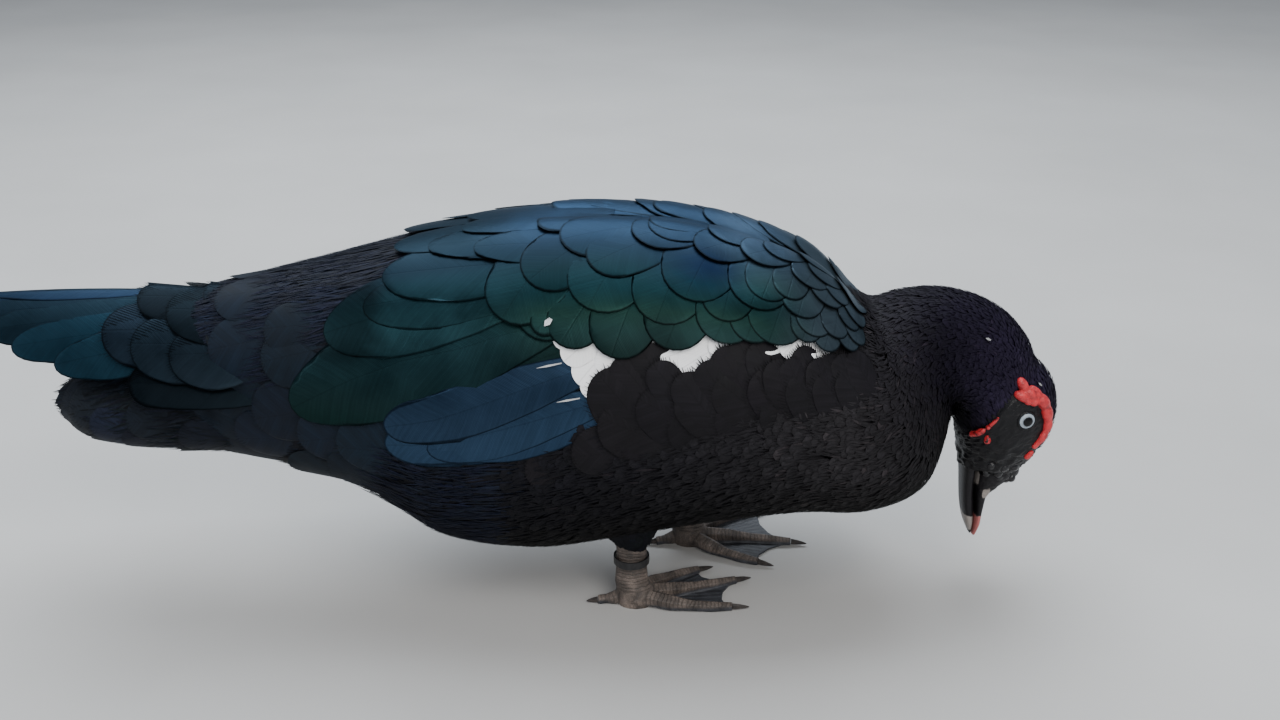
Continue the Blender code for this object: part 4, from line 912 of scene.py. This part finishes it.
def build_coat(drake):
    """The small feathers, region by region: broad ones below and fine wisps over them."""
    tints = black_tints(drake)
    purple = lambda u, v, rng: tinted(rng, len(u), drake.rump_purple, 0.25)
    off_wing = lambda u, v: ~under_wing(u, v)
    off_face = lambda u, v: u < bare_edge(v) - 0.08
    dull, velvet = "dull_black_feather", "black_velvet_feather"
    coat(drake, "coat_breast", PLUME, (8.0, 11.2), along_body((8, 11.2), (0.0068, 0.0048)),
         along_body((8, 11.2), (0.024, 0.017)), along_body((8, 11.2), (0.0125, 0.0085)), 13, dull,
         "black_plumage", tints, off_wing, rise=0.0040)
    coat(drake, "coat_belly", PLUME, (4.2, 8.2), along_body((4.2, 8.2), (0.0075, 0.0068)),
         along_body((4.2, 8.2), (0.030, 0.024)), along_body((4.2, 8.2), (0.0150, 0.0125)), 14, dull,
         "black_plumage", tints, off_wing)
    coat(drake, "coat_rump", PLUME, (-0.3, 4.3), along_body((0, 4.3), (0.0070, 0.0075)),
         along_body((0, 4.3), (0.034, 0.032)), along_body((0, 4.3), (0.0135, 0.0150)), 15, dull,
         "rump_plumage", tints, off_wing)
    coat(drake, "wisps_breast", WISP, (8.2, 11.4), along_body((8, 11), (0.0027, 0.0023)),
         along_body((8, 11), (0.012, 0.010)), along_body((8, 11), (0.0017, 0.0014)), 16, dull,
         "black_plumage", tints, off_wing, rise=0.0011, tip=drake.coat_lift, wander=0.20)
    coat(drake, "wisps_belly", WISP, (4.0, 8.2), along_body((4, 8), (0.0032, 0.0029)),
         along_body((4, 8), (0.016, 0.013)), along_body((4, 8), (0.0019, 0.0018)), 17, dull,
         "black_plumage", tints, off_wing, rise=0.0016, tip=drake.coat_lift, wander=0.20)
    over_rump = lambda u, v: ~under_wing(u, v) & (u > 4.2 * smooth(degrees_from_back(v), 60, 85) - 1.0)
    coat(drake, "strands_rump", WISP, (0.0, 5.0), along_body((0, 4), (0.0032, 0.0032)),
         along_body((0, 4), (0.040, 0.036)), along_body((0, 4), (0.0014, 0.0014)), 18, dull,
         "rump_plumage", purple, over_rump, rise=0.0026, tip=drake.coat_lift + 0.0012, wander=0.16)
    coat(drake, "wisps_rump", WISP, (-0.3, 4.4), along_body((0, 4), (0.0040, 0.0036)),
         along_body((0, 4), (0.020, 0.018)), along_body((0, 4), (0.0022, 0.0022)), 25, dull,
         "rump_plumage", tints, off_wing, rise=0.0022, tip=drake.coat_lift + 0.0002, wander=0.24)
    coat(drake, "coat_neck", PLUME, (11.0, 16.6), along_body((11, 13, 16.6), (0.0046, 0.0036, 0.0032)),
         along_body((11, 13, 16.6), (0.016, 0.012, 0.010)), along_body((11, 13, 16.6), (0.0080, 0.0060, 0.0050)),
         11, velvet, "black_plumage", tints, off_face, rise=0.0034, wander=0.12)
    coat(drake, "wisps_neck", WISP, (11.0, 16.8), along_body((11, 13, 16.6), (0.0026, 0.0022, 0.0020)),
         along_body((11, 13, 16.6), (0.010, 0.0085, 0.0075)), along_body((11, 16), (0.0018, 0.0015)),
         19, velvet, "black_plumage", tints, off_face, rise=0.0015, tip=drake.coat_lift, wander=0.20)
    coat(drake, "coat_head", WISP, (16.3, 21.0), along_body((16, 22), (0.0021, 0.0019)),
         along_body((16, 18, 22), (0.0085, 0.0075, 0.0055)), along_body((16, 22), (0.0022, 0.0017)),
         12, velvet, "face_and_crest", tints, off_face, rise=0.0019, wander=0.14)
    slate = lambda u, v, rng: tinted(rng, len(u), np.array(drake.plumage_black) * (0.8, 1.0, 1.4), 0.2)
    dusk = lambda u, v, rng: tinted(rng, len(u), np.array(drake.plumage_black) * (1.2, 1.9, 2.8), 0.4)
    wedge_unwrap = lambda spot: np.stack([(spot[:, 0] + 6) / 7, (spot[:, 1] / (2 * math.pi)) % 1.0], -1)
    even = lambda value: (lambda u, v: value + 0 * u)
    coat(drake, "coat_undertail", PLUME, (-3.9, 0.2), even(0.0075), even(0.032), even(0.0145), 20, dull,
         "rump_plumage", dusk, surface=undertail, unwrap=wedge_unwrap, step=UNDERTAIL_STEP, rise=0.004)
    coat(drake, "strands_undertail", WISP, (-4.5, 0.2), even(0.0036), even(0.026), even(0.0017), 21, dull,
         "rump_plumage", dusk, surface=undertail, unwrap=wedge_unwrap, step=UNDERTAIL_STEP, rise=0.003,
         tip=drake.coat_lift + 0.0012, wander=0.2)
    ring_unwrap = lambda spot: np.stack([spot[:, 0] * 0.9, (spot[:, 1] / (2 * math.pi)) % 1.0], -1)
    for i, side in enumerate(THIGHS):
        coat(drake, "coat_thigh_" + side, PLUME, (0.10, 1.0), even(0.0042), even(0.016), even(0.0075), 22 + i,
             dull, "black_plumage", slate, surface=thigh(side), unwrap=ring_unwrap, rise=0.004)


# Wings and tail.

def gloss_tint(drake, place, angle):
    """The back's colours: steel blue on top, then green down the side; the feathers' own gloss colour with painted sky
    reflection on the top and the shoulder, a painted highlight high on the mantle, a painted violet glint and painted
    shade at the ends of the long feathers.
    """
    degrees = np.degrees(angle)
    steel, green, violet = (np.array(c) for c in (drake.back_steel, drake.mantle_green, drake.violet_glint))
    teal, moss = green * (0.25, 0.48, 0.68), green * (1.6, 1.25, 1.30)
    # Steel blue at the top is partly the feathers' own colour and partly a painted sky reflection.
    mantle = blend_by(degrees, (10, 23, 33, 42, 49, 55, 62), (
        steel, steel * (0.36, 0.38, 0.34), teal * (2.4, 1.15, 1.15), teal * (2.8, 1.8, 1.65), green * (1.35, 1.2, 1.1),
        moss * (0.55, 0.58, 0.60), green * (0.50, 0.40, 0.42)))
    # Painted highlight: the top of the mantle is painted lighter, as if lit.
    painted_highlight = (smooth(place, 6.8, 7.5) * (1 - smooth(degrees, 28, 46)))[..., None]
    mantle = mantle * (1 + painted_highlight * (3.6, 2.4, 1.7))
    # The shoulder's grey is partly a painted sky reflection.
    shoulder = smooth(place, 7.5, 8.5)[..., None]
    mantle = mantle * (1 - shoulder) + np.array(drake.shoulder_grey) * shoulder
    long = blend_by(degrees, (8, 28, 45, 60, 82, 92), (
        steel * (0.24, 0.34, 0.27), steel * (0.34, 0.38, 0.30), green * (1.6, 1.5, 2.0), green * (1.6, 1.35, 1.75),
        green * (1.2, 0.95, 1.1), green * 0.7))
    rear = (1 - smooth(place, 4.3, 5.3))[..., None]
    base = mantle * (1 - rear) + long * rear
    # Painted shade: the ends of the long feathers are darkened, like the shadow under their tips.
    ends = (1 - smooth(place, 2.75, 3.15)) * (1 - smooth(degrees, 62, 72))
    band = np.exp(-((place - 5.3) / 0.4) ** 2) * smooth(degrees, 46, 56)
    dip = np.exp(-((place - 6.45) / 0.25) ** 2) * smooth(degrees, 45, 52)
    base = base * (1 - 0.65 * ends + 0.6 * band - 0.4 * dip)[..., None]
    # Painted glint: a violet reflection painted high on the wing.
    glint = 0.95 * np.exp(-((place - 6.95) / 0.42) ** 2 - ((degrees - 30) / 9) ** 2)[..., None]
    return base * (1 - glint) + violet * glint


def mantle_fill(rng):
    """Feathers under the ones that the table gives, so that the mantle closes."""
    rows = []
    for tier in range(9):
        share = tier / 8
        width = 0.026 + 0.024 * share
        pitch = width * 0.62 / 0.0019
        lowest = 42 + 15 * share - (tier % 2) * pitch / 2
        for row in range(int((lowest - 5) / pitch) + 1):
            angle = lowest - row * pitch
            rows.append((8.9 - 3.8 * share + rng.uniform(-0.06, 0.06), angle, min(66, 24 + 0.9 * angle), width * 1.7,
                         width))
    return rows


def build_wings(drake):
    for side, seed in (("right", 31), ("left", 32)):
        rng = np.random.default_rng(seed)
        left = side == "left"

        def group(name, rows, kind, tip_lift, rise, cloth, slot, tints, replaced=(), soft=False, **how):
            place, angle, heading, length, width, *turn = np.array(rows, float).T
            if turn:
                how["sweep"] = np.radians(turn[0])
            if left:
                place, angle = place + rng.normal(0, 0.05, len(place)), angle + rng.normal(0, 0.7, len(place))
                heading = heading + rng.normal(0, 2.5, len(place))
            angle, heading = np.radians(angle), np.radians(heading)
            plumage = Plumage(f"{name}_{side}")
            laid = lay(body, kind, place, angle, heading, length, width, tip_lift, rise, from_tip=True, **how)
            tint = tints(*laid[5])
            plumage.add(kind, laid, tint, None)
            if soft:
                frayed(plumage, body, kind, laid, heading, length, width, tip_lift, rise, rng, tint[:, 0],
                       camber=how["camber"])
            plumage.build(finish(cloth), slot, replaced, left)

        gloss = lambda u, v: gloss_tint(drake, u, v) * np.exp(rng.normal(0, 0.08, (len(u), 1, 1)))
        even = lambda colour, spread: lambda u, v: tinted(rng, len(u), colour, spread)[:, None]
        black = np.array(drake.plumage_black)
        mantle, flight, slot = "glossed_mantle_feather", "glossed_flight_feather", "glossed_feathers"
        ahead = 0.0007 + 0.0004 * (np.array(MANTLE)[:, 0] - 5.5)
        group("mantle", MANTLE, COVERT, ahead, 0.0030, mantle, slot, gloss, ("wing_" + side,), base=wing_lift,
              roll=0.0002, camber=0.006)
        group("mantle_under", mantle_fill(rng), COVERT, -0.0016, 0.0026, mantle, slot, gloss, base=wing_lift,
              roll=0.0002, camber=0.006)
        group("scapulars", SCAPULARS, QUILL, np.append(np.linspace(0.0062, 0.0039, len(SCAPULARS) - 1), 0.0012), 0.0034,
              flight, slot, gloss, roll=0.0003, camber=0.008)
        group("secondaries", SECONDARIES, QUILL, np.linspace(0.0036, 0.0024, len(SECONDARIES)), 0.0040, flight,
              slot, even(np.array(drake.wing_blue) * (4.4, 2.1, 2.3), 0.10), roll=0.0003, camber=0.008)
        white = "white_covert_feather"
        group("white_coverts", WHITE_COVERTS, COVERT, 0.0034, 0.0034, white, slot,
              even(drake.covert_white, 0.01), roll=0.0002, camber=0.01)
        group("white_streaks", WHITE_STREAKS, WISP, (0.0050, 0.0046, 0.0080), (0.0006, 0.0006, 0.0012), white, slot,
              even(np.array(drake.covert_white) * 0.6, 0.01))
        group("white_flecks", WHITE_FLECKS, WISP, 0.0018, 0.0006, white, "black_plumage",
              even(np.array(drake.covert_white) * 0.4, 0.01))
        first = np.interp(np.arange(len(FLANK)), (0, 15, 16, 23, 24, 32),
                          (0.0046, 0.0040, 0.0032, 0.0028, 0.0016, 0.0006))
        group("flank_feathers", FLANK, COVERT, first, 0.0046, "dull_black_feather", "black_plumage",
              even(black * (1.5, 1.4, 1.6), 0.06), camber=0.03, roll=0.0001, soft=True)
        group("rump_coverts", RUMP_COVERTS, COVERT, 0.0034, 0.0050, "dull_black_feather", "rump_plumage",
              even(black * (0.8, 1.8, 3.0), 0.14), camber=0.03, roll=0.0001, soft=True)


def frayed(plumage, surface, kind, laid, heading, length, width, tip_lift, rise, rng, tint, **how):
    """Adds a fringe of barbs to laid vanes, each barb a little lighter or darker than its vane."""
    barbs = fringe(surface, kind, laid, heading, length, width, tip_lift, rise, rng, **how)
    each = np.repeat(tint, len(barbs[0]) // len(tint), 0)
    plumage.add(WISP, barbs, each * np.exp(rng.normal(0, 0.22, (len(each), 1))), None)


def tail_vanes(plumage, rows, kind, tint, roll, rng=None):
    """Vanes on the tail's roof from a table of roots and tips, frayed if rng is given."""
    root_x, root_y, tip_x, tip_y, width, root_lift, tip_lift = np.array(rows, float).T
    run = tail_roof(-tip_x, tip_y) - tail_roof(-root_x, root_y)
    heading = np.arctan2(-run[:, 1], -run[:, 0])
    length, rise = np.linalg.norm(run[:, :2], axis=1), tip_lift - root_lift
    laid = lay(tail_roof, kind, -root_x, root_y, heading, length, width, tip_lift, rise, step=TAIL_STEP, roll=roll,
               camber=0.008)
    plumage.add(kind, laid, tint, None)
    if rng is not None:
        frayed(plumage, tail_roof, kind, laid, heading, length, width, tip_lift, rise, rng, tint, step=TAIL_STEP,
               camber=0.008, count=90, over=0.0018)


def build_tail(drake):
    rng = np.random.default_rng(41)
    for side in ("right", "left"):
        left = side == "left"
        plumage = Plumage("tail_quills_" + side)
        # Painted light: each quill's shade paints a sheen on the top quill and lights up the lower, outer quills that
        # face away from the lamps.
        shade = np.array([(1.5, 0.8, 0.95), (1.0, 0.6, 0.55), (1.0, 0.65, 0.60), (1.3, 0.9, 0.85), (1.7, 1.2, 1.1)])
        tail_vanes(plumage, TAIL_QUILLS, QUILL, tinted(rng, len(shade), drake.wing_blue, 0.08) * shade, -0.0005)
        plumage.build(finish("glossed_flight_feather"), "glossed_feathers", ("tail",), left)
        plumage = Plumage("tail_coverts_" + side)
        dark_teal = tinted(rng, len(TAIL_COVERTS), np.array(drake.wing_blue) * (0.60, 0.24, 0.21), 0.10)
        # Painted light: coverts lower down the side of the tail are painted lighter and the top ones darker, because
        # the lower ones face away from the lamps.
        lower = np.interp([row[3] for row in TAIL_COVERTS], (0.014, 0.025, 0.036, 0.045, 0.062), (0.8, 1.3, 2.4, 2.7, 1.2))
        tail_vanes(plumage, TAIL_COVERTS, COVERT, dark_teal * lower[:, None], 0.0003, rng)
        plumage.build(finish("glossed_flight_feather"), "glossed_feathers", (), left)
        plumage = Plumage("root_coverts_" + side)
        tail_vanes(plumage, ROOT_COVERTS, COVERT, tinted(rng, len(ROOT_COVERTS), np.array(drake.plumage_black) * (0.5, 1.0, 1.4), 0.10), 0.0002)
        plumage.build(finish("dull_black_feather"), "rump_plumage", (), left)
        place, angle, length, width = np.array(UNDERTAIL_FEATHERS, float).T
        plumage = Plumage("undertail_feathers_" + side)
        heading = rng.normal(0, 0.05, len(place))
        laid = lay(undertail, COVERT, place, np.radians(angle), heading, length, width, 0.0022, 0.0045,
                   from_tip=True, step=UNDERTAIL_STEP, camber=0.02, roll=0.0003)
        tint = tinted(rng, len(place), np.array(drake.plumage_black) * (1.2, 1.9, 2.8), 0.25)
        plumage.add(COVERT, laid, tint, None)
        frayed(plumage, undertail, COVERT, laid, heading, length, width, 0.0022, 0.0045, rng, tint,
               step=UNDERTAIL_STEP, camber=0.02)
        plumage.build(finish("dull_black_feather"), "rump_plumage", (), left)


# Head.

def head_frame(place, angle, lift=0.0):
    """A point on the head and the way out of it."""
    point, _, _, normal = frames(body, np.array([place]), np.array([angle]), BODY_STEP)
    return Vector(point[0] + normal[0] * lift), Vector(normal[0])


def build_eyes(drake):
    for side in (-1, 1):
        name = "left" if side > 0 else "right"
        centre, outward = head_frame(EYE_PLACE, -side * EYE_ANGLE, -EYE_DEPTH)
        turn = Matrix.Translation(centre) @ outward.to_track_quat("Z", "Y").to_matrix().to_4x4()
        bm = bmesh.new()
        bmesh.ops.create_uvsphere(bm, u_segments=48, v_segments=40, radius=drake.eye_radius - 0.0001)
        reach = [math.hypot(v.co.x, v.co.y) / drake.eye_radius if v.co.z > 0 else 1.0 for v in bm.verts]
        bmesh.ops.transform(bm, matrix=turn, verts=bm.verts[:])
        mesh = bpy.data.meshes.new("eyeball_" + name)
        bm.to_mesh(mesh)
        bm.free()
        mesh.shade_smooth()
        set_attribute(mesh, "reach", "FLOAT", reach)
        finish_piece(mesh, finish("pale_blue_eye"), ("eye_" + name,))
        lids = bmesh.new()
        for width, drop, radius in ((0.0063, 0.0053, 0.00095), (0.0079, 0.0042, 0.00085)):
            where = Matrix.Translation((width, 0, drop)) @ Matrix.Rotation(math.pi / 2, 4, "X")
            ring = bmesh.ops.create_circle(lids, segments=14, radius=radius, matrix=where)["verts"]
            loop = list({e for v in ring for e in v.link_edges})
            bmesh.ops.spin(lids, geom=ring + loop, cent=(0, 0, 0), axis=(0, 0, 1), angle=2 * math.pi, steps=72,
                           use_merge=True)
        bmesh.ops.remove_doubles(lids, verts=lids.verts[:], dist=1e-6)
        for vertex in lids.verts:
            vertex.co.z += 0.0004 * noise.noise(vertex.co * 900)
        bmesh.ops.transform(lids, matrix=turn, verts=lids.verts[:])
        bmesh.ops.recalc_face_normals(lids, faces=lids.faces[:])
        mesh = bpy.data.meshes.new("eyelids_" + name)
        lids.to_mesh(mesh)
        lids.free()
        mesh.shade_smooth()
        finish_piece(mesh, finish("bare_black_skin"))


def fused(name, balls, voxel, smoothing):
    """One closed skin over many overlapping balls: rows of x, y, z and radius."""
    bm = bmesh.new()
    bmesh.ops.create_icosphere(bm, subdivisions=3, radius=1.0)
    corners = np.array([v.co for v in bm.verts])
    faces = np.array([[v.index for v in f.verts] for f in bm.faces])
    bm.free()
    balls = np.array(balls, float)
    points = (balls[:, None, :3] + corners[None] * balls[:, None, 3:]).reshape(-1, 3)
    offset = len(corners) * np.arange(len(balls))[:, None, None]
    return remeshed(fill_mesh(name, points, (faces[None] + offset).reshape(-1, 3)), voxel, smoothing)


def remeshed(mesh, voxel, smoothing):
    """The mesh of a shape after an even remesh and a little smoothing."""
    carrier = bpy.data.objects.new("carrier", mesh)
    bpy.context.scene.collection.objects.link(carrier)
    even = carrier.modifiers.new("Even", "REMESH")
    even.mode, even.voxel_size = "VOXEL", voxel
    soft = carrier.modifiers.new("Soft", "SMOOTH")
    soft.factor, soft.iterations = 0.5, smoothing
    shaped = bpy.data.meshes.new_from_object(carrier.evaluated_get(bpy.context.evaluated_depsgraph_get()))
    name = mesh.name
    bpy.data.objects.remove(carrier, do_unlink=True)
    bpy.data.meshes.remove(mesh)
    shaped.name = name
    shaped.shade_smooth()
    return shaped


def ridge_balls(chain, side, spacing=0.0006, lumps=0.10):
    """Balls along a chain of places, angles in degrees and radii on one side of the head."""
    at = rows_at(chain, np.linspace(0, len(chain) - 1, 400))
    point, _, _, normal = frames(body, at[:, 0], np.radians(at[:, 1]), BODY_STEP)
    point = point + normal * at[:, 2:] * 0.30
    walked = np.concatenate([[0], np.cumsum(np.linalg.norm(np.diff(point, axis=0), axis=1))])
    steps = np.searchsorted(walked, np.arange(0, walked[-1], spacing))
    radius = at[steps, 2] * (1 + lumps * np.sin(walked[steps] / 0.0011 * 0.7))
    return np.c_[point[steps] * (1, side, 1), radius]


def build_caruncles(drake):
    for name, node_name, chains, dark in (("brow_ridge", "brow_caruncles", BROW_LOBES, 0.15),
                                          ("chin_ridge", "chin_caruncles", CHIN_LOBES, 1.0)):
        for side, sign in (("right", 1), ("left", -1)):
            balls = np.concatenate([ridge_balls(chain, sign) for chain in chains])
            mesh = fused(f"{name}_{side}", balls, 0.0004, 4)
            set_attribute(mesh, "dark", "FLOAT", np.full(len(mesh.vertices), dark))
            finish_piece(mesh, finish("red_caruncle"), (f"{node_name}_{side}",))


def build_bill(drake):
    rows = rows_at(BILL, np.linspace(0, 5, 110))
    angle = np.linspace(0, 2 * math.pi, 73)[:-1]
    share = np.linspace(0, 1, len(rows))[:, None] + 0 * angle
    half_gap = 0.00021
    for name in ("upper", "lower"):
        if name == "upper":
            flat, rounds = np.concatenate([rows[:, 0:2], rows[:, 2:4] + (half_gap, 0), rows[:, 6:7]], 1), 2.5
        else:
            flat, rounds = np.concatenate([rows[:, 2:4] - (half_gap, 0), rows[:, 4:6], rows[:, 6:7] * 0.86], 1), 2.6
        points = section_points(flat[:, None, :], np.broadcast_to(angle, share.shape), rounds)
        if name == "upper":
            outward = unit(points - points.mean(1, keepdims=True))
            off_mouth = smooth(np.cos(angle), -0.9, -0.2)[None]
            creases = noise_at(points, (240, 1.0), (600, 0.4)) * off_mouth * (1 - smooth(share, 0.3, 0.6))
            points = points + outward * (0.0012 * creases)[..., None]
        mesh = closed_tube(f"bill_{name}_horn", points)
        x, _, z = np.array([v.co for v in mesh.vertices]).T
        low = smooth(-z, -0.056, -0.048)
        if name == "upper":
            patch = np.exp(-((z - 0.0715) / 0.0045) ** 2) * smooth(x, 0.3275, 0.3290) * smooth(-x, -0.3350, -0.3325)
            brink = np.exp(-((z - 0.082) / 0.007) ** 2) * (1 - smooth(x, 0.3252, 0.3268))
            pale = np.maximum(low, np.maximum(patch, 0.8 * brink))
            pink = smooth(x, 0.3245, 0.3260) * low
        else:
            pale, pink = low * smooth(z, 0.036, 0.042), 0 * z
        set_attribute(mesh, "pale", "FLOAT", pale)
        set_attribute(mesh, "pink", "FLOAT", pink)
        finish_piece(mesh, finish("mottled_bill"), ("bill_" + name,))
    knobs = [(x, s * y, z, r) for x, y, z, r in BILL_KNOBS for s in ((1, -1) if y else (1,))]
    mesh = fused("bill_knobs", knobs, 0.0005, 2)
    finish_piece(mesh, finish("black_knob"))


# Legs and the parts that show as they are.

def build_legs(drake):
    for side in ("right", "left"):
        names = [f"shank_{side}", f"foot_{side}"]
        bm = bmesh.new()
        for name in names:
            bm.from_mesh(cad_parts[name].data)
        bmesh.ops.remove_doubles(bm, verts=bm.verts[:], dist=1e-6)
        mesh = bpy.data.meshes.new("leg_" + side)
        bm.to_mesh(mesh)
        bm.free()
        leg = remeshed(mesh, 0.0006, 3)
        spots = np.empty(len(leg.vertices) * 3, np.float32)
        leg.vertices.foreach_get("co", spots)
        x, y, z = spots.reshape(-1, 3).T
        ankle = ANKLES[side]
        reach = np.hypot(x - ankle[0], y - ankle[1])
        set_attribute(leg, "run", "FLOAT", np.where(z > 0.014, z, reach))
        set_attribute(leg, "turn", "FLOAT", np.arctan2(y - ankle[1], x - ankle[0]))
        set_attribute(leg, "web", "FLOAT", smooth(-z, -0.0052, -0.0026) * smooth(reach, 0.012, 0.020))
        finish_piece(leg, finish("scaled_leg_skin"), names)


def finish_kept_nodes(drake):
    """Finishes the claws and the leg band, which show as they are."""
    for name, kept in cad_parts.items():
        cloth = "dark_claw" if name.startswith("claw") else "black_band" if name == "leg_band" else None
        if cloth:
            kept.data.materials.clear()
            kept.data.materials.append(finish(cloth))


def build_stage(drake):
    bm = bmesh.new()
    bmesh.ops.create_grid(bm, x_segments=1, y_segments=1, size=8.0)
    mesh = bpy.data.meshes.new("floor")
    bm.to_mesh(mesh)
    bm.free()
    mesh.materials.append(finish("pale_floor"))
    plane = bpy.data.objects.new("floor", mesh)
    bpy.context.scene.collection.objects.link(plane)
    world = bpy.data.worlds.new("studio")
    world.use_nodes = True
    world.node_tree.nodes["Background"].inputs[0].default_value = (0.80, 0.88, 1.0, 1.0)
    world.node_tree.nodes["Background"].inputs[1].default_value = 0.42
    bpy.context.scene.world = world
    for name, place, size, power, colour in (
            ("sky_panel", (-0.1, 0.9, 2.15), 2.4, 96.0, (0.86, 0.93, 1.0)),
            ("front_panel", (0.6, -1.8, 1.65), 1.7, 50.0, (1.0, 0.98, 0.95)),
            ("rear_panel", (-1.8, -0.6, 1.2), 1.2, 12.0, (0.95, 0.97, 1.0))):
        lamp = bpy.data.lights.new(name, "AREA")
        lamp.size, lamp.energy, lamp.color = size, power * drake.light, colour
        holder = bpy.data.objects.new(name, lamp)
        bpy.context.scene.collection.objects.link(holder)
        holder.location = place
        holder.rotation_euler = (Vector((0.0, 0, 0.14)) - Vector(place)).to_track_quat("-Z", "Y").to_euler()
    lens = bpy.data.cameras.new("photo_view")
    lens.lens, lens.sensor_width = CAMERA_LENS, 36.0
    camera = bpy.data.objects.new("photo_view", lens)
    bpy.context.scene.collection.objects.link(camera)
    camera.location = CAMERA_PLACE
    camera.rotation_euler = (math.pi / 2 - CAMERA_TILT, 0, 0)
    bpy.context.scene.camera = camera


# The add-on.

def colour_property(name, description, default):
    return FloatVectorProperty(name=name, description=description, default=default, size=3, subtype="COLOR",
                               min=0.0, max=1.0)


class DrakeSettings(bpy.types.PropertyGroup):
    """Sizes and colours that a user would change."""
    coat_closeness: FloatProperty(name="Coat closeness", description="How closely the small feathers stand",
                                  default=1.0, min=0.3, max=1.3, subtype="FACTOR")
    coat_lift: FloatProperty(name="Coat lift", description="How far the tips of the coat stand over the solid shape",
                             default=0.0006, unit="LENGTH")
    rim_width: FloatProperty(name="Rim width", description="How wide the dark rims of the mantle feathers are",
                             default=0.0012, unit="LENGTH")
    eye_radius: FloatProperty(name="Eye radius", description="The radius of an eyeball", default=0.0082,
                              unit="LENGTH")
    gloss_roughness: FloatProperty(name="Gloss roughness", description="How soft the gloss of the wings is",
                                   default=0.38, min=0.1, max=0.9, subtype="FACTOR")
    light: FloatProperty(name="Light", description="How strong the studio lights are", default=1.0, min=0.1,
                         max=4.0, subtype="FACTOR")
    # Back steel and shoulder grey are the feathers' gloss colours with painted sky reflection in them; violet glint is
    # a painted reflection.
    back_steel: colour_property("Back steel", "The steel blue gloss of the back", (0.0130, 0.0300, 0.0600))
    mantle_green: colour_property("Mantle green", "The green gloss of the wing's side", (0.0075, 0.0250, 0.0225))
    shoulder_grey: colour_property("Shoulder grey", "The grey green gloss of the shoulder", (0.0440, 0.0620, 0.0740))
    violet_glint: colour_property("Violet glint", "The violet gloss high on the wing", (0.0005, 0.0045, 0.0180))
    wing_blue: colour_property("Wing blue", "The blue gloss of secondaries and tail", (0.0048, 0.020, 0.034))
    plumage_black: colour_property("Plumage black", "The black of the small feathers", (0.0046, 0.0043, 0.0049))
    rump_purple: colour_property("Rump purple", "The purple black of the rump's strands", (0.0060, 0.0086, 0.0200))
    covert_white: colour_property("Covert white", "The white of the wing coverts", (0.97, 0.97, 0.97))
    caruncle_red: colour_property("Caruncle red", "The red of the face's ridges", (0.56, 0.028, 0.034))
    iris_blue: colour_property("Iris blue", "The pale blue of the iris", (0.38, 0.44, 0.50))
    leg_tan: colour_property("Leg tan", "The tan of shanks and toes", (0.125, 0.098, 0.082))
    floor_grey: colour_property("Floor grey", "The colour of the studio floor", (0.46, 0.45, 0.435))


def piece_operator(key, label, description, build):
    """An operator that builds one piece or one group of like pieces."""
    def execute(self, context):
        build(context.scene.drake)
        return {"FINISHED"}
    return type("OBJECT_OT_drake_" + key, (bpy.types.Operator,), {
        "__doc__": description, "bl_idname": "object.drake_" + key, "bl_label": label, "execute": execute})


OPERATORS = [
    piece_operator("stage", "Stage", "Lay the floor and set the lights and the camera", build_stage),
    piece_operator("skin", "Skin", "Lay one black skin under the plumage", build_skin),
    piece_operator("coat", "Coat", "Lay the small feathers over the skin", build_coat),
    piece_operator("wings", "Wings", "Lay the feathers of both folded wings", build_wings),
    piece_operator("tail", "Tail", "Lay the feathers of the tail", build_tail),
    piece_operator("eyes", "Eyes", "Set the eyes and their lids", build_eyes),
    piece_operator("caruncles", "Caruncles", "Set the red ridges of the face", build_caruncles),
    piece_operator("bill", "Bill", "Set the bill and its knobs", build_bill),
    piece_operator("legs", "Legs", "Set the scaled legs and feet", build_legs),
    piece_operator("kept", "Claws and band", "Finish the claws and the leg band", finish_kept_nodes),
]


class VIEW3D_PT_drake(bpy.types.Panel):
    """Lists the drake's pieces and settings"""
    bl_label = "Muscovy drake"
    bl_space_type = "VIEW_3D"
    bl_region_type = "UI"
    bl_category = "Drake"

    def draw(self, context):
        for operator in OPERATORS:
            self.layout.operator(operator.bl_idname)
        for key in DrakeSettings.__annotations__:
            self.layout.prop(context.scene.drake, key)


CLASSES = [DrakeSettings, *OPERATORS, VIEW3D_PT_drake]


def register():
    for each in CLASSES:
        bpy.utils.register_class(each)
    bpy.types.Scene.drake = PointerProperty(type=DrakeSettings)


def unregister():
    del bpy.types.Scene.drake
    for each in reversed(CLASSES):
        bpy.utils.unregister_class(each)


def main():
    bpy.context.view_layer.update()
    register()
    for operator in OPERATORS:
        getattr(bpy.ops.object, operator.bl_idname.split(".")[1])()


if __name__ == "__main__":
    main()
